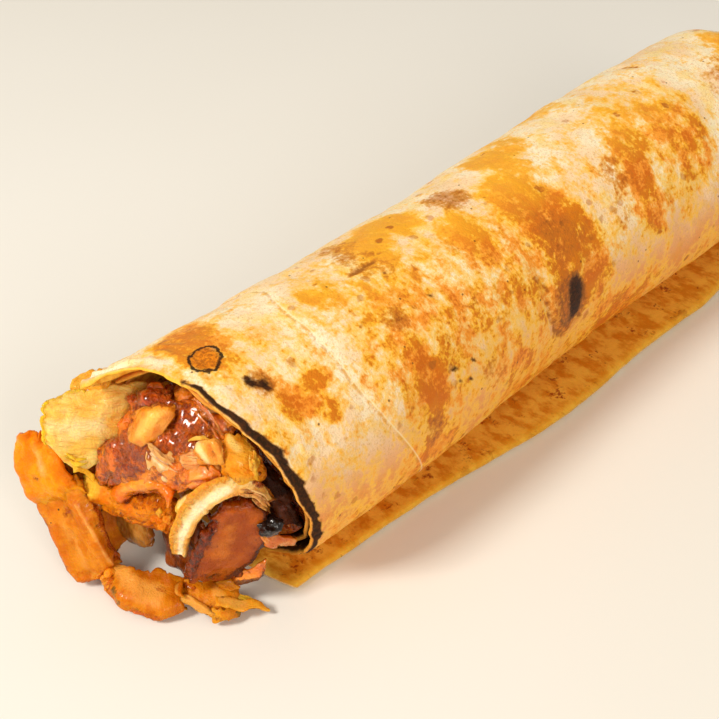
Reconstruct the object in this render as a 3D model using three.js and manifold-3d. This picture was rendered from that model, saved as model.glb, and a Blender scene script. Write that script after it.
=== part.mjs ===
// Doner wrap: a thin flatbread rolled twice round sliced chicken, lying on its loose flap.
// Millimetres, +Z up. The roll runs along X with its open mouth towards -X, where slices
// spill out and down to the table. The origin is on the flat underside, halfway along the roll.

import * as THREE from 'three';
import { mergeVertices } from 'three/addons/utils/BufferGeometryUtils.js';
import Module from 'manifold-3d';

const wasm = await Module();
wasm.setup();

// The roll
const rollLength = 218;
const rollRadius = 27; // outside of the first lap
const sheetThickness = 2; // one layer of bread
const lapPitch = 2.45; // from one lap to the next, layer and crumb of space together
const laps = 2;
const tuckStart = 0.72; // turns into a lap where it starts to tuck under itself
const slump = 1.2; // how far the lower corners bulge under the roll's weight
const backSwelling = 0.9;
const frontSwelling = 1.2;

// The loose flap under the roll, on the -Y side
const flapReachMouth = 20;
const flapReachMiddle = 29;
const flapReachFar = 17;

// The far end draws in
const taperLength = 28;
const taperKeep = 0.66; // radius left at the far end

// The mouth's rim is a slanting cut that leads at the back of the top. Angles, in degrees, count
// from the +Y side over the top, and a tongue stands out behind it.
const rimBack = -1; // the cut's middle, from the mouth's plane
const rimSlant = 7;
const rimLeadAngle = 60;
const tongueLength = 9;
const tongueAngle = 52;
const tongueHalfWidth = 12;
const innerRimInset = 1.2; // the second lap ends this much further in
const innerTongueInset = 6; // and its tongue is shorter

// Space kept between solids that touch
const gap = 0.3;

// The roll's filling
const coreFront = 7; // behind the mouth's plane
const coreBack = 2; // inside the far end
const coreClearance = 0.8; // between the filling and the bread round it
const farDome = 2.5; // how far the middle of the filling stands out at the far end
const centreRadius = rollRadius - sheetThickness / 2;
const mouthX = -rollLength / 2;
const farX = rollLength / 2;

const degrees = Math.PI / 180;

const smooth = (low, high, value) => THREE.MathUtils.smoothstep(value, low, high);

// A closed solid from a block of unit cells: place(u, v, w) gives the point of each corner,
// with w = 0 and w = 1 on the two faces.
function block(cellsU, cellsV, cellsW, place) {
  const geometry = new THREE.BoxGeometry(1, 1, 1, cellsU, cellsV, cellsW);
  return shaped(geometry, (corner) => place(corner.x + 0.5, corner.y + 0.5, corner.z + 0.5));
}

// Moves every vertex of a closed geometry and returns it as a solid with outward faces.
function shaped(geometry, place) {
  geometry.deleteAttribute('normal');
  geometry.deleteAttribute('uv');
  const merged = mergeVertices(geometry, 1e-4);
  const position = merged.getAttribute('position');
  const corner = new THREE.Vector3();
  for (let i = 0; i < position.count; i++) {
    corner.fromBufferAttribute(position, i);
    const moved = place(corner.clone());
    position.setXYZ(i, moved.x, moved.y, moved.z);
  }
  return toSolid(merged);
}

function toSolid(geometry) {
  const vertProperties = new Float32Array(geometry.getAttribute('position').array);
  const triVerts = new Uint32Array(geometry.index.array);
  if (signedVolume(vertProperties, triVerts) < 0) {
    for (let i = 0; i < triVerts.length; i += 3) {
      [triVerts[i], triVerts[i + 1]] = [triVerts[i + 1], triVerts[i]];
    }
  }
  return new wasm.Manifold(new wasm.Mesh({ numProp: 3, vertProperties, triVerts }));
}

function signedVolume(vertices, triangles) {
  const a = new THREE.Vector3();
  const b = new THREE.Vector3();
  const c = new THREE.Vector3();
  let volume = 0;
  for (let i = 0; i < triangles.length; i += 3) {
    a.fromArray(vertices, triangles[i] * 3);
    b.fromArray(vertices, triangles[i + 1] * 3);
    c.fromArray(vertices, triangles[i + 2] * 3);
    volume += a.dot(b.cross(c)) / 6;
  }
  return volume;
}

function toGeometry(solid) {
  const mesh = solid.getMesh();
  const geometry = new THREE.BufferGeometry();
  geometry.setAttribute('position', new THREE.BufferAttribute(new Float32Array(mesh.vertProperties), 3));
  geometry.setIndex(new THREE.BufferAttribute(new Uint32Array(mesh.triVerts), 1));
  geometry.computeVertexNormals();
  return geometry;
}

// --- The flatbread ---

// How much of the full radius is left at x.
function taper(x) {
  const drawnIn = THREE.MathUtils.clamp((x - farX) / taperLength + 1, 0, 1);
  return 1 - (1 - taperKeep) * drawnIn ** 1.5;
}

// Long swellings where the filling pushes out: the back is slimmest a quarter of the way
// along, the front half way. None on the underside.
function bumps(angle, x) {
  const fromMouth = x - mouthX;
  const back = -backSwelling * Math.cos((2 * Math.PI * (fromMouth - 60)) / 190);
  const front = frontSwelling * Math.cos((2 * Math.PI * (fromMouth - 32)) / 128);
  const facingBack = Math.max(0, Math.cos(angle - 46 * degrees));
  const facingFront = Math.max(0, Math.cos(angle - 205 * degrees));
  return (back * facingBack + front * facingFront) * smooth(-0.75, -0.3, Math.sin(angle));
}

// Distance from the roll's axis to the middle of the first lap, flattened underneath.
function outline(angle, x) {
  const radius = centreRadius * taper(x);
  const down = -Math.sin(angle);
  const round = radius + slump * smooth(0, 0.7, down) + bumps(angle, x);
  return down > 0.1 ? Math.min(round, radius / down) : round;
}

// How many laps the sheet has stepped inwards after some turns.
function stepsIn(turns) {
  const whole = Math.floor(turns);
  return whole + smooth(tuckStart, 1, turns - whole);
}

// Turns count from the underside, up the +Y side first. Offset is outwards from the sheet's middle.
function rollPoint(turns, x, offset) {
  const angle = (turns * 360 - 90) * degrees;
  const reach = outline(angle, x) - lapPitch * stepsIn(turns) + offset;
  const height = centreRadius * taper(x) + sheetThickness / 2;
  return new THREE.Vector3(x, reach * Math.cos(angle), height + reach * Math.sin(angle));
}

function bump(value, middle, halfWidth) {
  return Math.exp(-(((value - middle) / halfWidth) ** 2));
}

function mouthRim(turns) {
  const angle = turns * 360 - 90;
  const crinkle = 0.3 * Math.sin(angle / 7) + 0.2 * Math.sin(angle / 3.1);
  const onTongue = Math.max(0, Math.cos((angle - 50) * degrees)) ** 8;
  const inset = innerRimInset + innerTongueInset * onTongue;
  const turned = THREE.MathUtils.euclideanModulo(angle + 90, 360) - 90;
  const cut = rimBack - rimSlant * Math.cos((angle - rimLeadAngle) * degrees);
  const tongue = -tongueLength * bump(turned, tongueAngle, tongueHalfWidth);
  return mouthX + cut + tongue + crinkle + inset * smooth(0.95, 1.1, turns);
}

function farRim(turns) {
  const angle = turns * 360 - 90;
  const crinkle = 0.9 * Math.sin(angle / 41) + 0.5 * Math.sin(angle / 11);
  return farX + crinkle - 1.5 * smooth(0.95, 1.1, turns);
}

function flapReach(x) {
  const widening = (flapReachMiddle - flapReachMouth) * smooth(mouthX, mouthX + 100, x);
  const narrowing = (flapReachMiddle - flapReachFar) * smooth(farX - 70, farX, x);
  return flapReachMouth + widening - narrowing + 0.5 * Math.sin(x / 11);
}

// The flap's mouth corner is cut back where the sheet's round edge starts.
function flapMouth(across) {
  return mouthX + 1.5 + 3 * across ** 3;
}

const flapCells = 4;
const lapCells = 30;
const lengthCells = 13;

// Rows stand closer together near both ends.
const along = (v) => v - 0.09 * Math.sin(2 * Math.PI * v);

function flatbread(grow) {
  const cellsAcross = flapCells + laps * lapCells;
  const half = sheetThickness / 2 + grow;
  return block(cellsAcross, lengthCells, 1, (u, v, w) => {
    const cell = Math.round(u * cellsAcross);
    const turns = Math.max(0, cell - flapCells) / lapCells + (u === 1 ? grow / 150 : 0);
    const onFlap = Math.max(0, flapCells - cell) / flapCells;
    const low = (cell < flapCells ? flapMouth(onFlap) : mouthRim(turns)) - grow;
    const x = THREE.MathUtils.lerp(low, farRim(turns) + grow, along(v));
    const offset = (w * 2 - 1) * half;
    if (cell < flapCells) {
      return new THREE.Vector3(x, -(flapReach(x) + grow) * onFlap, sheetThickness / 2 - offset);
    }
    return rollPoint(turns, x, offset);
  });
}

// --- The filling ---

// The core fills the second lap from end to end.
function fillingCore() {
  const cellsAcross = 7;
  const cellsAlong = 12;
  const inside = sheetThickness / 2 + coreClearance;
  return block(cellsAlong, cellsAcross, cellsAcross, (u, v, w) => {
    const across = v * 2 - 1;
    const up = w * 2 - 1;
    const share = Math.max(Math.abs(across), Math.abs(up));
    const angle = squareAngle(across, up);
    const ends = 1.1 * Math.sin(5 * across + 2 * up) + 0.9 * Math.cos(6 * up - 3 * across);
    const front = mouthX + coreFront + ends;
    const back = farX - coreBack + ends + farDome * (1 - share ** 2);
    const x = THREE.MathUtils.lerp(front, back, u);
    const turns = (angle / degrees + 90) / 360;
    const edge = rollPoint(1 + (turns - Math.floor(turns)), x, -inside);
    const height = centreRadius * taper(x) + sheetThickness / 2;
    return new THREE.Vector3(x, edge.y * share, height + (edge.z - height) * share);
  });
}

// Angle of a cell's corner when a square grid is drawn out into a round one.
function squareAngle(across, up) {
  if (across === 0 && up === 0) return 0;
  if (Math.abs(across) >= Math.abs(up)) {
    return (up / across) * (Math.PI / 4) + (across > 0 ? 0 : Math.PI);
  }
  return Math.PI / 2 - (across / up) * (Math.PI / 4) + (up > 0 ? 0 : Math.PI);
}

// Rows of points down a slice: at each point of its spine, the offsets across it, turning from
// across to acrossEnd on the way down.
function sliceRows({ spine, across, acrossEnd = across, widths = spine.map(() => 1) }) {
  return spine.map((place, i) => across.map((start, k) => {
    const end = new THREE.Vector3(...acrossEnd[k]);
    const offset = new THREE.Vector3(...start).lerp(end, i / (spine.length - 1));
    return new THREE.Vector3(...place).addScaledVector(offset, widths[i]);
  }));
}

// A slice is a bent slab through its rows. Ragged is how far its edge wanders.
function slice(piece, grow) {
  const { thickness, ragged } = piece;
  const rows = sliceRows(piece);
  const lines = rows[0].map((_, k) => spline(rows.map((row) => row[k])));
  const middle = (u, v) => spline(lines.map((line) => line.getPoint(u))).getPoint(v);
  const cellsDown = 6;
  const cellsAcross = 2 * rows[0].length;
  return block(cellsDown, cellsAcross, 1, (u, v, w) => {
    const step = 0.02;
    const u0 = THREE.MathUtils.clamp(u, step, 1 - step);
    const v0 = THREE.MathUtils.clamp(v, step, 1 - step);
    const down = middle(u0 + step, v0).sub(middle(u0 - step, v0)).normalize();
    const across = middle(u0, v0 + step).sub(middle(u0, v0 - step)).normalize();
    const normal = new THREE.Vector3().crossVectors(down, across).normalize();
    const point = middle(u, v);
    const edgeU = Math.abs(u * 2 - 1) ** 4;
    const edgeV = Math.abs(v * 2 - 1) ** 4;
    const half = (thickness / 2) * (1 - 0.45 * edgeU) * (1 - 0.45 * edgeV) + grow;
    const wander = ragged * Math.sin(9 * u + 7 * v + rows[0][0].y);
    point.addScaledVector(down, (Math.round(u * 2 - 1) * edgeU) * (wander + grow));
    point.addScaledVector(across, (Math.round(v * 2 - 1) * edgeV) * (wander + grow));
    return point.addScaledVector(normal, (w * 2 - 1) * half);
  });
}

function spline(points) {
  return new THREE.CatmullRomCurve3(points, false, 'catmullrom');
}

// A lump is an uneven ball, wide along X, Y and Z as its radii say, then turned about X.
function lump(centre, radii, turn, grow) {
  return shaped(new THREE.IcosahedronGeometry(1, 2), (corner) => {
    const knobs = 1 + 0.12 * Math.sin(4 * corner.x + 3 * corner.z) * Math.cos(5 * corner.y);
    const point = new THREE.Vector3(
      corner.x * (radii[0] * knobs + grow),
      corner.y * (radii[1] * knobs + grow),
      corner.z * (radii[2] * knobs + grow),
    );
    point.applyAxisAngle(new THREE.Vector3(1, 0, 0), turn * degrees);
    return point.add(new THREE.Vector3(...centre));
  });
}

// --- Materials ---

const finish = (color, roughness) => new THREE.MeshStandardMaterial({ color, roughness, metalness: 0 });
const bread = finish(0xecc48a, 0.75);
const pale = finish(0xf6c878, 0.55);
const golden = finish(0xf09a2c, 0.5);
const sauced = finish(0xb4501a, 0.35);
const charred = finish(0x2c1a16, 0.4);

// --- What shows at the mouth ---
// Millimetres from the middle of the mouth on the table, x, y, z. A slice is given by its spine,
// the offsets across it, and its width at each point of the spine.
// The pieces come from the front of the spill to the back of it.

const mouthPieces = [
  {
    name: 'front_slice_left', finish: golden, thickness: 3, ragged: 0.5,
    spine: [[-21, 10, 4], [-21, 6, 4.5], [-20, 2, 4.5], [-17, -2, 4], [-14, -6, 4]],
    across: [[3, 2, 0.5], [0, 0, 0], [-3.5, -3, -2]],
    widths: [0.5, 1, 1, 1.1, 0.8],
  },
  {
    name: 'front_slice_right', finish: golden, thickness: 2.6, ragged: 0.6,
    spine: [[-14, -5, 4], [-12, -9, 4], [-10, -12, 4], [-7, -15, 3], [-4, -20, 1.5]],
    across: [[2, 2, 1], [0, 0, 0], [-2, -2, -2]],
    widths: [0.7, 1, 1.2, 0.8, 0.2],
  },
  {
    name: 'hanging_slice', finish: golden, thickness: 2.8, ragged: 0.5,
    spine: [[-20, 21, 24], [-21, 16, 18], [-21, 13, 12], [-21, 11, 7], [-20, 10, 4]],
    across: [[15, 0, -8], [-3, 9, -6], [0, 0, 0], [3, -1, -2]],
    acrossEnd: [[8, 6, -2], [-5, 4, -3], [0, 0, 0], [3, 1, -1]],
    widths: [0.9, 1, 1, 1, 0.8],
  },
  {
    name: 'curled_slice', finish: golden, thickness: 2.8, ragged: 0.5,
    spine: [[-22, 27, 34], [-23, 27, 30], [-24, 25, 26], [-24, 23, 22], [-23, 21, 19]],
    across: [[15, -8, 2], [-1, 3, -3], [0, 0, 0], [3, -3, -1]],
    acrossEnd: [[16, -1, 6], [-1, 5, -4], [0, 0, 0], [4, -5, 3]],
    widths: [0.7, 1, 1, 1, 1],
  },
  {
    name: 'ledge_slice', finish: golden, thickness: 2.4, ragged: 0.4,
    spine: [[-18, 20, 21], [-16, 12, 21], [-13, 4, 21], [-11, -2, 21]],
    across: [[5, 3, 1], [0, 0, 0], [-0.5, -0.5, -3.5]],
    widths: [0.5, 1, 1, 0.7],
  },
  {
    name: 'orange_band', finish: golden, thickness: 2.2, ragged: 0.3,
    spine: [[-17, 12, 21], [-15, 7, 26], [-13, 2, 29], [-12, -3, 28]],
    across: [[3, 2, 0], [0, 0, 0], [0, -0.5, -2]],
  },
  {
    name: 'pale_strip', finish: pale, thickness: 3, ragged: 0.3,
    spine: [[-14, -4, 14], [-14, -5, 21], [-12, -7, 28], [-10, -10, 33], [-6, -13, 35], [-1, -16, 32]],
    across: [[0, 1, -0.5], [0, 0, 0], [1, -4, 1]],
    acrossEnd: [[-1, 2, 0], [0, 0, 0], [1, -3, -4]],
    widths: [0.7, 0.9, 1, 1, 1, 0.8],
  },
  {
    name: 'glazed_slice', finish: sauced, thickness: 3, ragged: 0.4,
    spine: [[-5, -14, 29], [-6, -14, 24], [-8, -13, 18], [-11, -10, 8]],
    across: [[-5, 4, 1], [0, 0, 0], [7, -5, 0]],
    widths: [0.4, 0.8, 1, 0.8],
  },
  {
    name: 'right_slice', finish: golden, thickness: 2.2, ragged: 0.5,
    spine: [[-1, -10, 42], [-3, -13, 39], [-4, -15, 34]],
    across: [[-2, 3, 0], [0, 0, 0], [4, -2, -1]],
    widths: [0.5, 1, 1],
  },
  {
    name: 'top_flap_slice', finish: golden, thickness: 2.2, ragged: 0.4,
    spine: [[-5, 6, 43], [-8, 6, 42], [-11, 7, 36]],
    across: [[-1, 4, -2], [0, 0, 0], [3, -3, 0]],
    widths: [0.8, 1.1, 0.6],
  },
  {
    name: 'breast_slice', finish: pale, thickness: 2.6, ragged: 0.4,
    spine: [[-22, 25, 38], [-18, 21, 36], [-13, 18, 36], [-7, 16, 36], [1, 14, 35]],
    across: [[4, 1, 6], [0, 0, 0], [-1, -2, -9]],
    widths: [0.6, 1.1, 1, 0.9, 0.6],
  },
  { name: 'sauced_chunk_left', finish: sauced, centre: [-10, 12, 27], radii: [5, 5, 5], turn: 20 },
  { name: 'pale_chunk', finish: pale, centre: [-8, 2, 31], radii: [5, 6, 4], turn: -20 },
  { name: 'rolled_chunk', finish: pale, centre: [-4, -7, 37], radii: [6, 4, 5], turn: 15 },
  { name: 'sauced_chunk_upper', finish: sauced, centre: [-1, 5, 36], radii: [6, 7, 6], turn: 10 },
  { name: 'char_bit', finish: charred, centre: [-1, -19, 24], radii: [2.6, 2, 2], turn: 0 },
  {
    name: 'small_strip', finish: golden, thickness: 1.8, ragged: 0.2,
    spine: [[-3, -18, 22], [0, -20, 20], [4, -21, 18]],
    across: [[0, 0, 0], [0, -0.5, -3]],
  },
  {
    name: 'hollow_slice', finish: sauced, thickness: 2.4, ragged: 0.4,
    spine: [[-12, 11, 16], [-12, 11, 8], [-11, 12, 3]],
    across: [[0, 6, 0], [0, 0, 0], [0, -6, 1]],
    acrossEnd: [[-1, 5, 1], [0, 0, 0], [0, -5, 4]],
  },
  {
    name: 'standing_slice', finish: sauced, thickness: 3, ragged: 0.4,
    spine: [[-8, 5, 14], [-9, 5, 8], [-9, 5, 2]],
    across: [[0, 0, 0], [-1, -9, 1]],
  },
  {
    name: 'right_shreds', finish: sauced, thickness: 3.2, ragged: 0.6,
    spine: [[0, -12, 34], [1, -15, 29], [2, -16, 24], [3, -17, 19]],
    across: [[0, 0, 0], [4, -3, -1]],
  },
];

// --- Putting it together: each piece is cut back from those before it ---

const wrap = new THREE.Group();
const taken = [];

function cutBack(solid) {
  let rest = solid;
  for (const neighbour of taken) rest = rest.subtract(neighbour);
  const bodies = rest.decompose();
  bodies.sort((a, b) => b.volume() - a.volume());
  return bodies[0];
}

function addMesh(name, solid, material) {
  const mesh = new THREE.Mesh(toGeometry(solid), material);
  mesh.name = name;
  wrap.add(mesh);
}

function pieceSolid(piece, grow) {
  if (piece.spine) return slice(piece, grow);
  return lump(piece.centre, piece.radii, piece.turn, grow);
}

function addMouthPieces() {
  const mouth = [mouthX, 0, 0];
  for (const piece of mouthPieces) {
    addMesh(piece.name, cutBack(pieceSolid(piece, 0).translate(mouth)), piece.finish);
    taken.push(pieceSolid(piece, gap).translate(mouth));
  }
}

addMesh('flatbread', flatbread(0), bread);
taken.push(flatbread(gap));
addMouthPieces();
addMesh('filling_core', cutBack(fillingCore()), golden);

export default wrap;
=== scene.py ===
import math

import bpy
import numpy as np
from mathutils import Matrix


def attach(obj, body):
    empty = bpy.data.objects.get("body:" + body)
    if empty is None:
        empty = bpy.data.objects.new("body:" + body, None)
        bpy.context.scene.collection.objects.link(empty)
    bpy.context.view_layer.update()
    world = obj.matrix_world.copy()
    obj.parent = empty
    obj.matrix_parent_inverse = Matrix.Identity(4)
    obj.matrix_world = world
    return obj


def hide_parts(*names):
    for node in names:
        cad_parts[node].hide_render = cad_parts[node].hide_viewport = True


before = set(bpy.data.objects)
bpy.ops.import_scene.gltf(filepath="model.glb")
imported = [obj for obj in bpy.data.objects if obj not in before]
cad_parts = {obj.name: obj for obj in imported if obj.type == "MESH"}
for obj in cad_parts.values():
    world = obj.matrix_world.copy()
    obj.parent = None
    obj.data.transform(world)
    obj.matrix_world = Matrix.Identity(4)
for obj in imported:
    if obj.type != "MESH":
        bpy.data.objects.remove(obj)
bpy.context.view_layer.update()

mm = 0.001

# The roll, in millimetres, as the solids have it. x counts from the mouth's plane along the roll.
roll = dict(
    length=218, radius=27, layer=2, lapPitch=2.45, tuckStart=0.72, slump=1.2,
    flapMouth=20, flapMiddle=29, flapFar=17, flapWidens=100, flapNarrows=70, flapWave=0.5,
    taperLength=28, taperKeep=0.66, rimInset=1.2, tongueInset=6,
)
mouthX = -roll["length"] / 2
centreRadius = roll["radius"] - roll["layer"] / 2


slopes = np.random.default_rng(7).normal(size=(1024, 3))
slopes /= np.linalg.norm(slopes, axis=1)[:, None]
shuffle = np.random.default_rng(8).permutation(1024)


# Smooth noise, about -1 to 1, one cell per unit
def wobble(points, seed=0):
    cell = np.floor(points).astype(int)
    part = points - cell
    ease = part ** 3 * (part * (part * 6 - 15) + 10)
    total = np.zeros(points.shape[:-1])
    for corner in np.ndindex(2, 2, 2):
        near = cell + corner
        picked = shuffle[(near[..., 2] + seed * 37) % 1024]
        picked = shuffle[(near[..., 1] + picked) % 1024]
        picked = shuffle[(near[..., 0] + picked) % 1024]
        weight = np.where(np.array(corner) == 1, ease, 1 - ease).prod(-1)
        total += weight * ((part - corner) * slopes[picked]).sum(-1)
    return total * 1.6


# Noise in several sizes: each octave is half as large and half as strong
def rough(points, size, seed=0, octaves=3):
    return sum(
        wobble(points / size * 2 ** k, seed + k) / 2 ** k for k in range(octaves)
    )


def smooth(low, high, value):
    share = np.clip((value - low) / (high - low), 0, 1)
    return share * share * (3 - 2 * share)


# Smooth curve through points along the first axis, read at where, from 0 to 1
def curveAt(points, where):
    count = len(points)
    ends = [2 * points[:1] - points[1:2], points, 2 * points[-1:] - points[-2:-1]]
    padded = np.concatenate(ends)
    step = np.clip(where, -0.1, 1.1) * (count - 1)
    k = np.clip(np.floor(step).astype(int), 0, count - 2)
    t = step - k
    before, start, end, after = hermite(t)
    shape = t.shape + (1,) * (points.ndim - 1)
    return (
        padded[k] * before.reshape(shape)
        + padded[k + 1] * start.reshape(shape)
        + padded[k + 2] * end.reshape(shape)
        + padded[k + 3] * after.reshape(shape)
    )


def hermite(t):
    return (
        -0.5 * t + t ** 2 - 0.5 * t ** 3,
        1 - 2.5 * t ** 2 + 1.5 * t ** 3,
        0.5 * t + 2 * t ** 2 - 1.5 * t ** 3,
        -0.5 * t ** 2 + 0.5 * t ** 3,
    )


# Distance from points in a plane to a broken line
def pathDistance(spots, path):
    nearest = np.full(spots.shape[:-1], 1e9)
    path = np.array(path, float)
    if len(path) == 1:
        return np.linalg.norm(spots - path[0], axis=-1)
    for start, end in zip(path[:-1], path[1:]):
        line = end - start
        share = np.clip(((spots - start) @ line) / (line @ line), 0, 1)
        gone = np.linalg.norm(spots - start - share[..., None] * line, axis=-1)
        nearest = np.minimum(nearest, gone)
    return nearest


# Makes a piece from points in millimetres: x from the mouth's plane, y from the axis, z from the table
def makePiece(name, points, faces, marks, finish, nodes):
    mesh = bpy.data.meshes.new(name)
    placed = (np.asarray(points, float) + (mouthX, 0, 0)) * mm
    placed[:, 2] = np.maximum(placed[:, 2], 0)
    mesh.from_pydata(placed.tolist(), [], np.asarray(faces).tolist())
    for label, values in marks.items():
        attribute = mesh.attributes.new(label, "FLOAT_VECTOR", "POINT")
        attribute.data.foreach_set("vector", np.asarray(values, np.float32).ravel())
    mesh.materials.append(finish)
    mesh.shade_smooth()
    piece = bpy.data.objects.new(name, mesh)
    bpy.context.scene.collection.objects.link(piece)
    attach(piece, "root")
    if nodes:
        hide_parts(*nodes)
    return piece


# Faces for two grids of points, a front and a back that share their outer edge, closed into one skin
def closeGrids(front):
    rows, columns = front.shape[:2]
    onEdge = np.ones((rows, columns), bool)
    onEdge[1:-1, 1:-1] = False
    frontIndex = np.arange(rows * columns).reshape(rows, columns)
    backIndex = frontIndex.copy()
    backIndex[~onEdge] = rows * columns + np.arange((~onEdge).sum())
    faces = np.concatenate([quads(frontIndex), quads(backIndex)[:, ::-1]])
    return faces, onEdge


def quads(index):
    return np.stack(
        [index[:-1, :-1], index[1:, :-1], index[1:, 1:], index[:-1, 1:]], -1
    ).reshape(-1, 4)


def joinGrids(front, back, onEdge):
    return np.concatenate([front.reshape(-1, front.shape[-1]), back[~onEdge]])


def colour(code):
    parts = [int(code[k:k + 2], 16) / 255 for k in (1, 3, 5)]
    linear = [p / 12.92 if p <= 0.04045 else ((p + 0.055) / 1.055) ** 2.4 for p in parts]
    return (*linear, 1)


# A socket in a finish, so that shader maths reads as maths
class Wire:
    def __init__(self, finish, socket):
        self.finish = finish
        self.socket = socket

    def __add__(self, other):
        return self.finish.maths("ADD", self, other)

    def __radd__(self, other):
        return self.finish.maths("ADD", other, self)

    def __sub__(self, other):
        return self.finish.maths("SUBTRACT", self, other)

    def __rsub__(self, other):
        return self.finish.maths("SUBTRACT", other, self)

    def __mul__(self, other):
        return self.finish.maths("MULTIPLY", self, other)

    def __rmul__(self, other):
        return self.finish.maths("MULTIPLY", other, self)

    def __abs__(self):
        return self.finish.node("Math", {"operation": "ABSOLUTE"}, {0: self})

    def between(self, low, high):
        return self.finish.node(
            "MapRange", {"interpolation_type": "SMOOTHSTEP"},
            {"Value": self, "From Min": low, "From Max": high},
        )


class Finish:
    def __init__(self, name, constants):
        self.material = bpy.data.materials.new(name)
        self.material.use_nodes = True
        self.tree = self.material.node_tree
        self.surface = self.tree.nodes["Principled BSDF"]
        for label, value in constants.items():
            self.surface.inputs[label].default_value = value

    def feed(self, inputs, label, value):
        if isinstance(value, Wire):
            self.tree.links.new(value.socket, inputs[label])
        else:
            inputs[label].default_value = value

    # Any node: its type, its settings, then what its inputs take; gives one output, or several
    def node(self, kind, settings, values, output=0):
        made = self.tree.nodes.new("ShaderNode" + kind)
        for label, value in settings.items():
            setattr(made, label, value)
        for label, value in values.items():
            self.feed(made.inputs, label, value)
        if isinstance(output, (list, tuple)):
            return [Wire(self, made.outputs[each]) for each in output]
        return Wire(self, made.outputs[output])

    def maths(self, operation, first, second):
        return self.node("Math", {"operation": operation}, {0: first, 1: second})

    def mix(self, share, first, second):
        return self.node("Mix", {"data_type": "RGBA"}, {0: share, 6: first, 7: second}, 2)

    def marks(self, name):
        return self.node("Attribute", {"attribute_name": name}, {}, "Vector")

    def split(self, vector):
        return self.node("SeparateXYZ", {}, {0: vector}, (0, 1, 2))

    def stretch(self, vector, amounts):
        return self.node("VectorMath", {"operation": "MULTIPLY"}, {0: vector, 1: amounts})

    # Noise of a size in the vector's units
    def noise(self, vector, size, detail=3, roughness=0.55):
        values = {"Vector": vector, "Scale": 1 / size, "Detail": detail, "Roughness": roughness}
        return self.node("TexNoise", {}, values)

    # A vector that shifts a place to and fro, by up to half an amount each way
    def jitter(self, vector, size, amount):
        values = {"Vector": vector, "Scale": 1 / size, "Detail": 2}
        tint = self.node("TexNoise", {}, values, "Color")
        shift = self.node("VectorMath", {"operation": "SUBTRACT"}, {0: tint, 1: (0.5, 0.5, 0.5)})
        return self.stretch(shift, (amount, amount, amount))

    # Small round specks on a grid of cells, a share of them shown
    def specks(self, vector, cell, radius, share):
        gone, tint = self.node(
            "TexVoronoi", {}, {"Vector": vector, "Scale": 1 / cell}, ("Distance", "Color")
        )
        picked = self.split(tint)[0]
        dot = 1 - gone.between(radius / cell * 0.6, radius / cell)
        return dot * self.node("Math", {"operation": "LESS_THAN"}, {0: picked, 1: share})

    def bump(self, height, depth, strength=1.0):
        return self.node("Bump", {}, {"Height": height, "Distance": depth * mm, "Strength": strength})

    def wear(self, **looks):
        sockets = {"tint": "Base Color", "roughness": "Roughness", "coat": "Coat Weight", "normal": "Normal"}
        for label, value in looks.items():
            self.feed(self.surface.inputs, sockets[label], value)
        return self.material


# The flatbread: its cells, its waves and its colours
bread = dict(
    layer=1.7,  # thickness as seen, a little under the frame's
    flapCells=26, lapCells=150, innerLapCells=74, lengthCells=188,
    mouthCrowding=1.3,  # above 1, the cells are shorter near the mouth
    softWave=0.42, smallWave=0.15, rimWave=0.35, tongueRipple=0.5,  # how far the sheet undulates
    softSize=15, smallSize=4.5, rimWaveSize=5, rippleSize=3,
    rimWaveReach=(14, 2), rippleReach=(17, 4),  # distances from the rim, from none to all of it
    waveRadius=26,  # the circle on which the waves are read, the same in every lap
    lapWidth=160,  # how far it is round a lap, roughly
    raggedEdge=0.35, flapInset=1.5, flapCorner=3, flapLift=0.35, seamStep=0.22,
    cream="#feecc6", peach="#fbd8aa", yellow="#fddc90", flour="#fff6de", tan="#e2a860", speckle="#cf9656",
    halo="#fec656", oil="#f58e0a", deepOil="#cc6206", yellowOil="#ffb818",
    toast="#c06c20", toastDark="#7c4216", scorch="#84501c", char="#1c0d06",
    # Painted shade on the next lines: a near-black inside the mouth, mixed with dark sauce, and the
    # underside tints; the seam's light and dark tints are a painted highlight and a painted shadow
    rim="#eea83a", shadeAndSauce="#241006", low="#e88826", freckle="#b8661c",
    inside="#fbc048", insideDeep="#dc8c1c", sauce="#942a05",
    yellowEdge="#f6ae2c", insideYellow="#f0b93c", flapEdge="#f3b32c", rimYellow="#ffc030", rimUndersideShade="#d8861e",
    seamHighlightTint="#fff0c4", seamShadowTint="#c07f35", ringPale="#ea8410", ringBrown="#a85808",
    charBrown="#45210d", dot="#6b3d1a",
)

# The mouth's rim is a slanting cut that leads at the back of the top, with a tongue behind it.
# Angles, in degrees, count from the back side over the top. Crinkles are an amount and a wave.
rim = dict(
    back=-1, slant=7, leadAngle=60, tongueLength=9, tongueAngle=52, tongueHalfWidth=12,
    rippleAngle=48, rippleHalfWidth=26, insetAngle=50, crinkles=[(0.3, 7), (0.2, 3.1)],
)

# The far end's rim: crinkles as for the mouth's, and how much further in the inner lap ends
farEnd = dict(crinkles=[(0.9, 41), (0.5, 11)], inset=1.5)

# The char along the rim: the angles between which it starts and ends, its width at first,
# how much wider it gets on the top and narrower towards the table, and between which angles
charBand = dict(
    start=(94, 100), end=(238, 222), width=1.1, wider=1.2, widerAt=(100, 140),
    narrower=0.8, narrowerAt=(190, 225),
)

# Browned and yellow stretches of the rim and its cut edge, and painted shade with dark sauce on the inner
# faces behind the rim: the angles between which each starts and ends, and the distances from the rim between
# which it fades in
rimLooks = dict(
    brown=0.75, brownStart=(190, 220), brownReach=(4.5, 1),
    yellowStart=(-30, 10), yellowEnd=(104, 92), yellowReach=(3.0, 0.3),
    shadeSauceStart=(92, 118), shadeSauceEnd=(262, 240), shadeSauceReach=(15, 4), cutReach=(0.6, 0.1),
)

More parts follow.
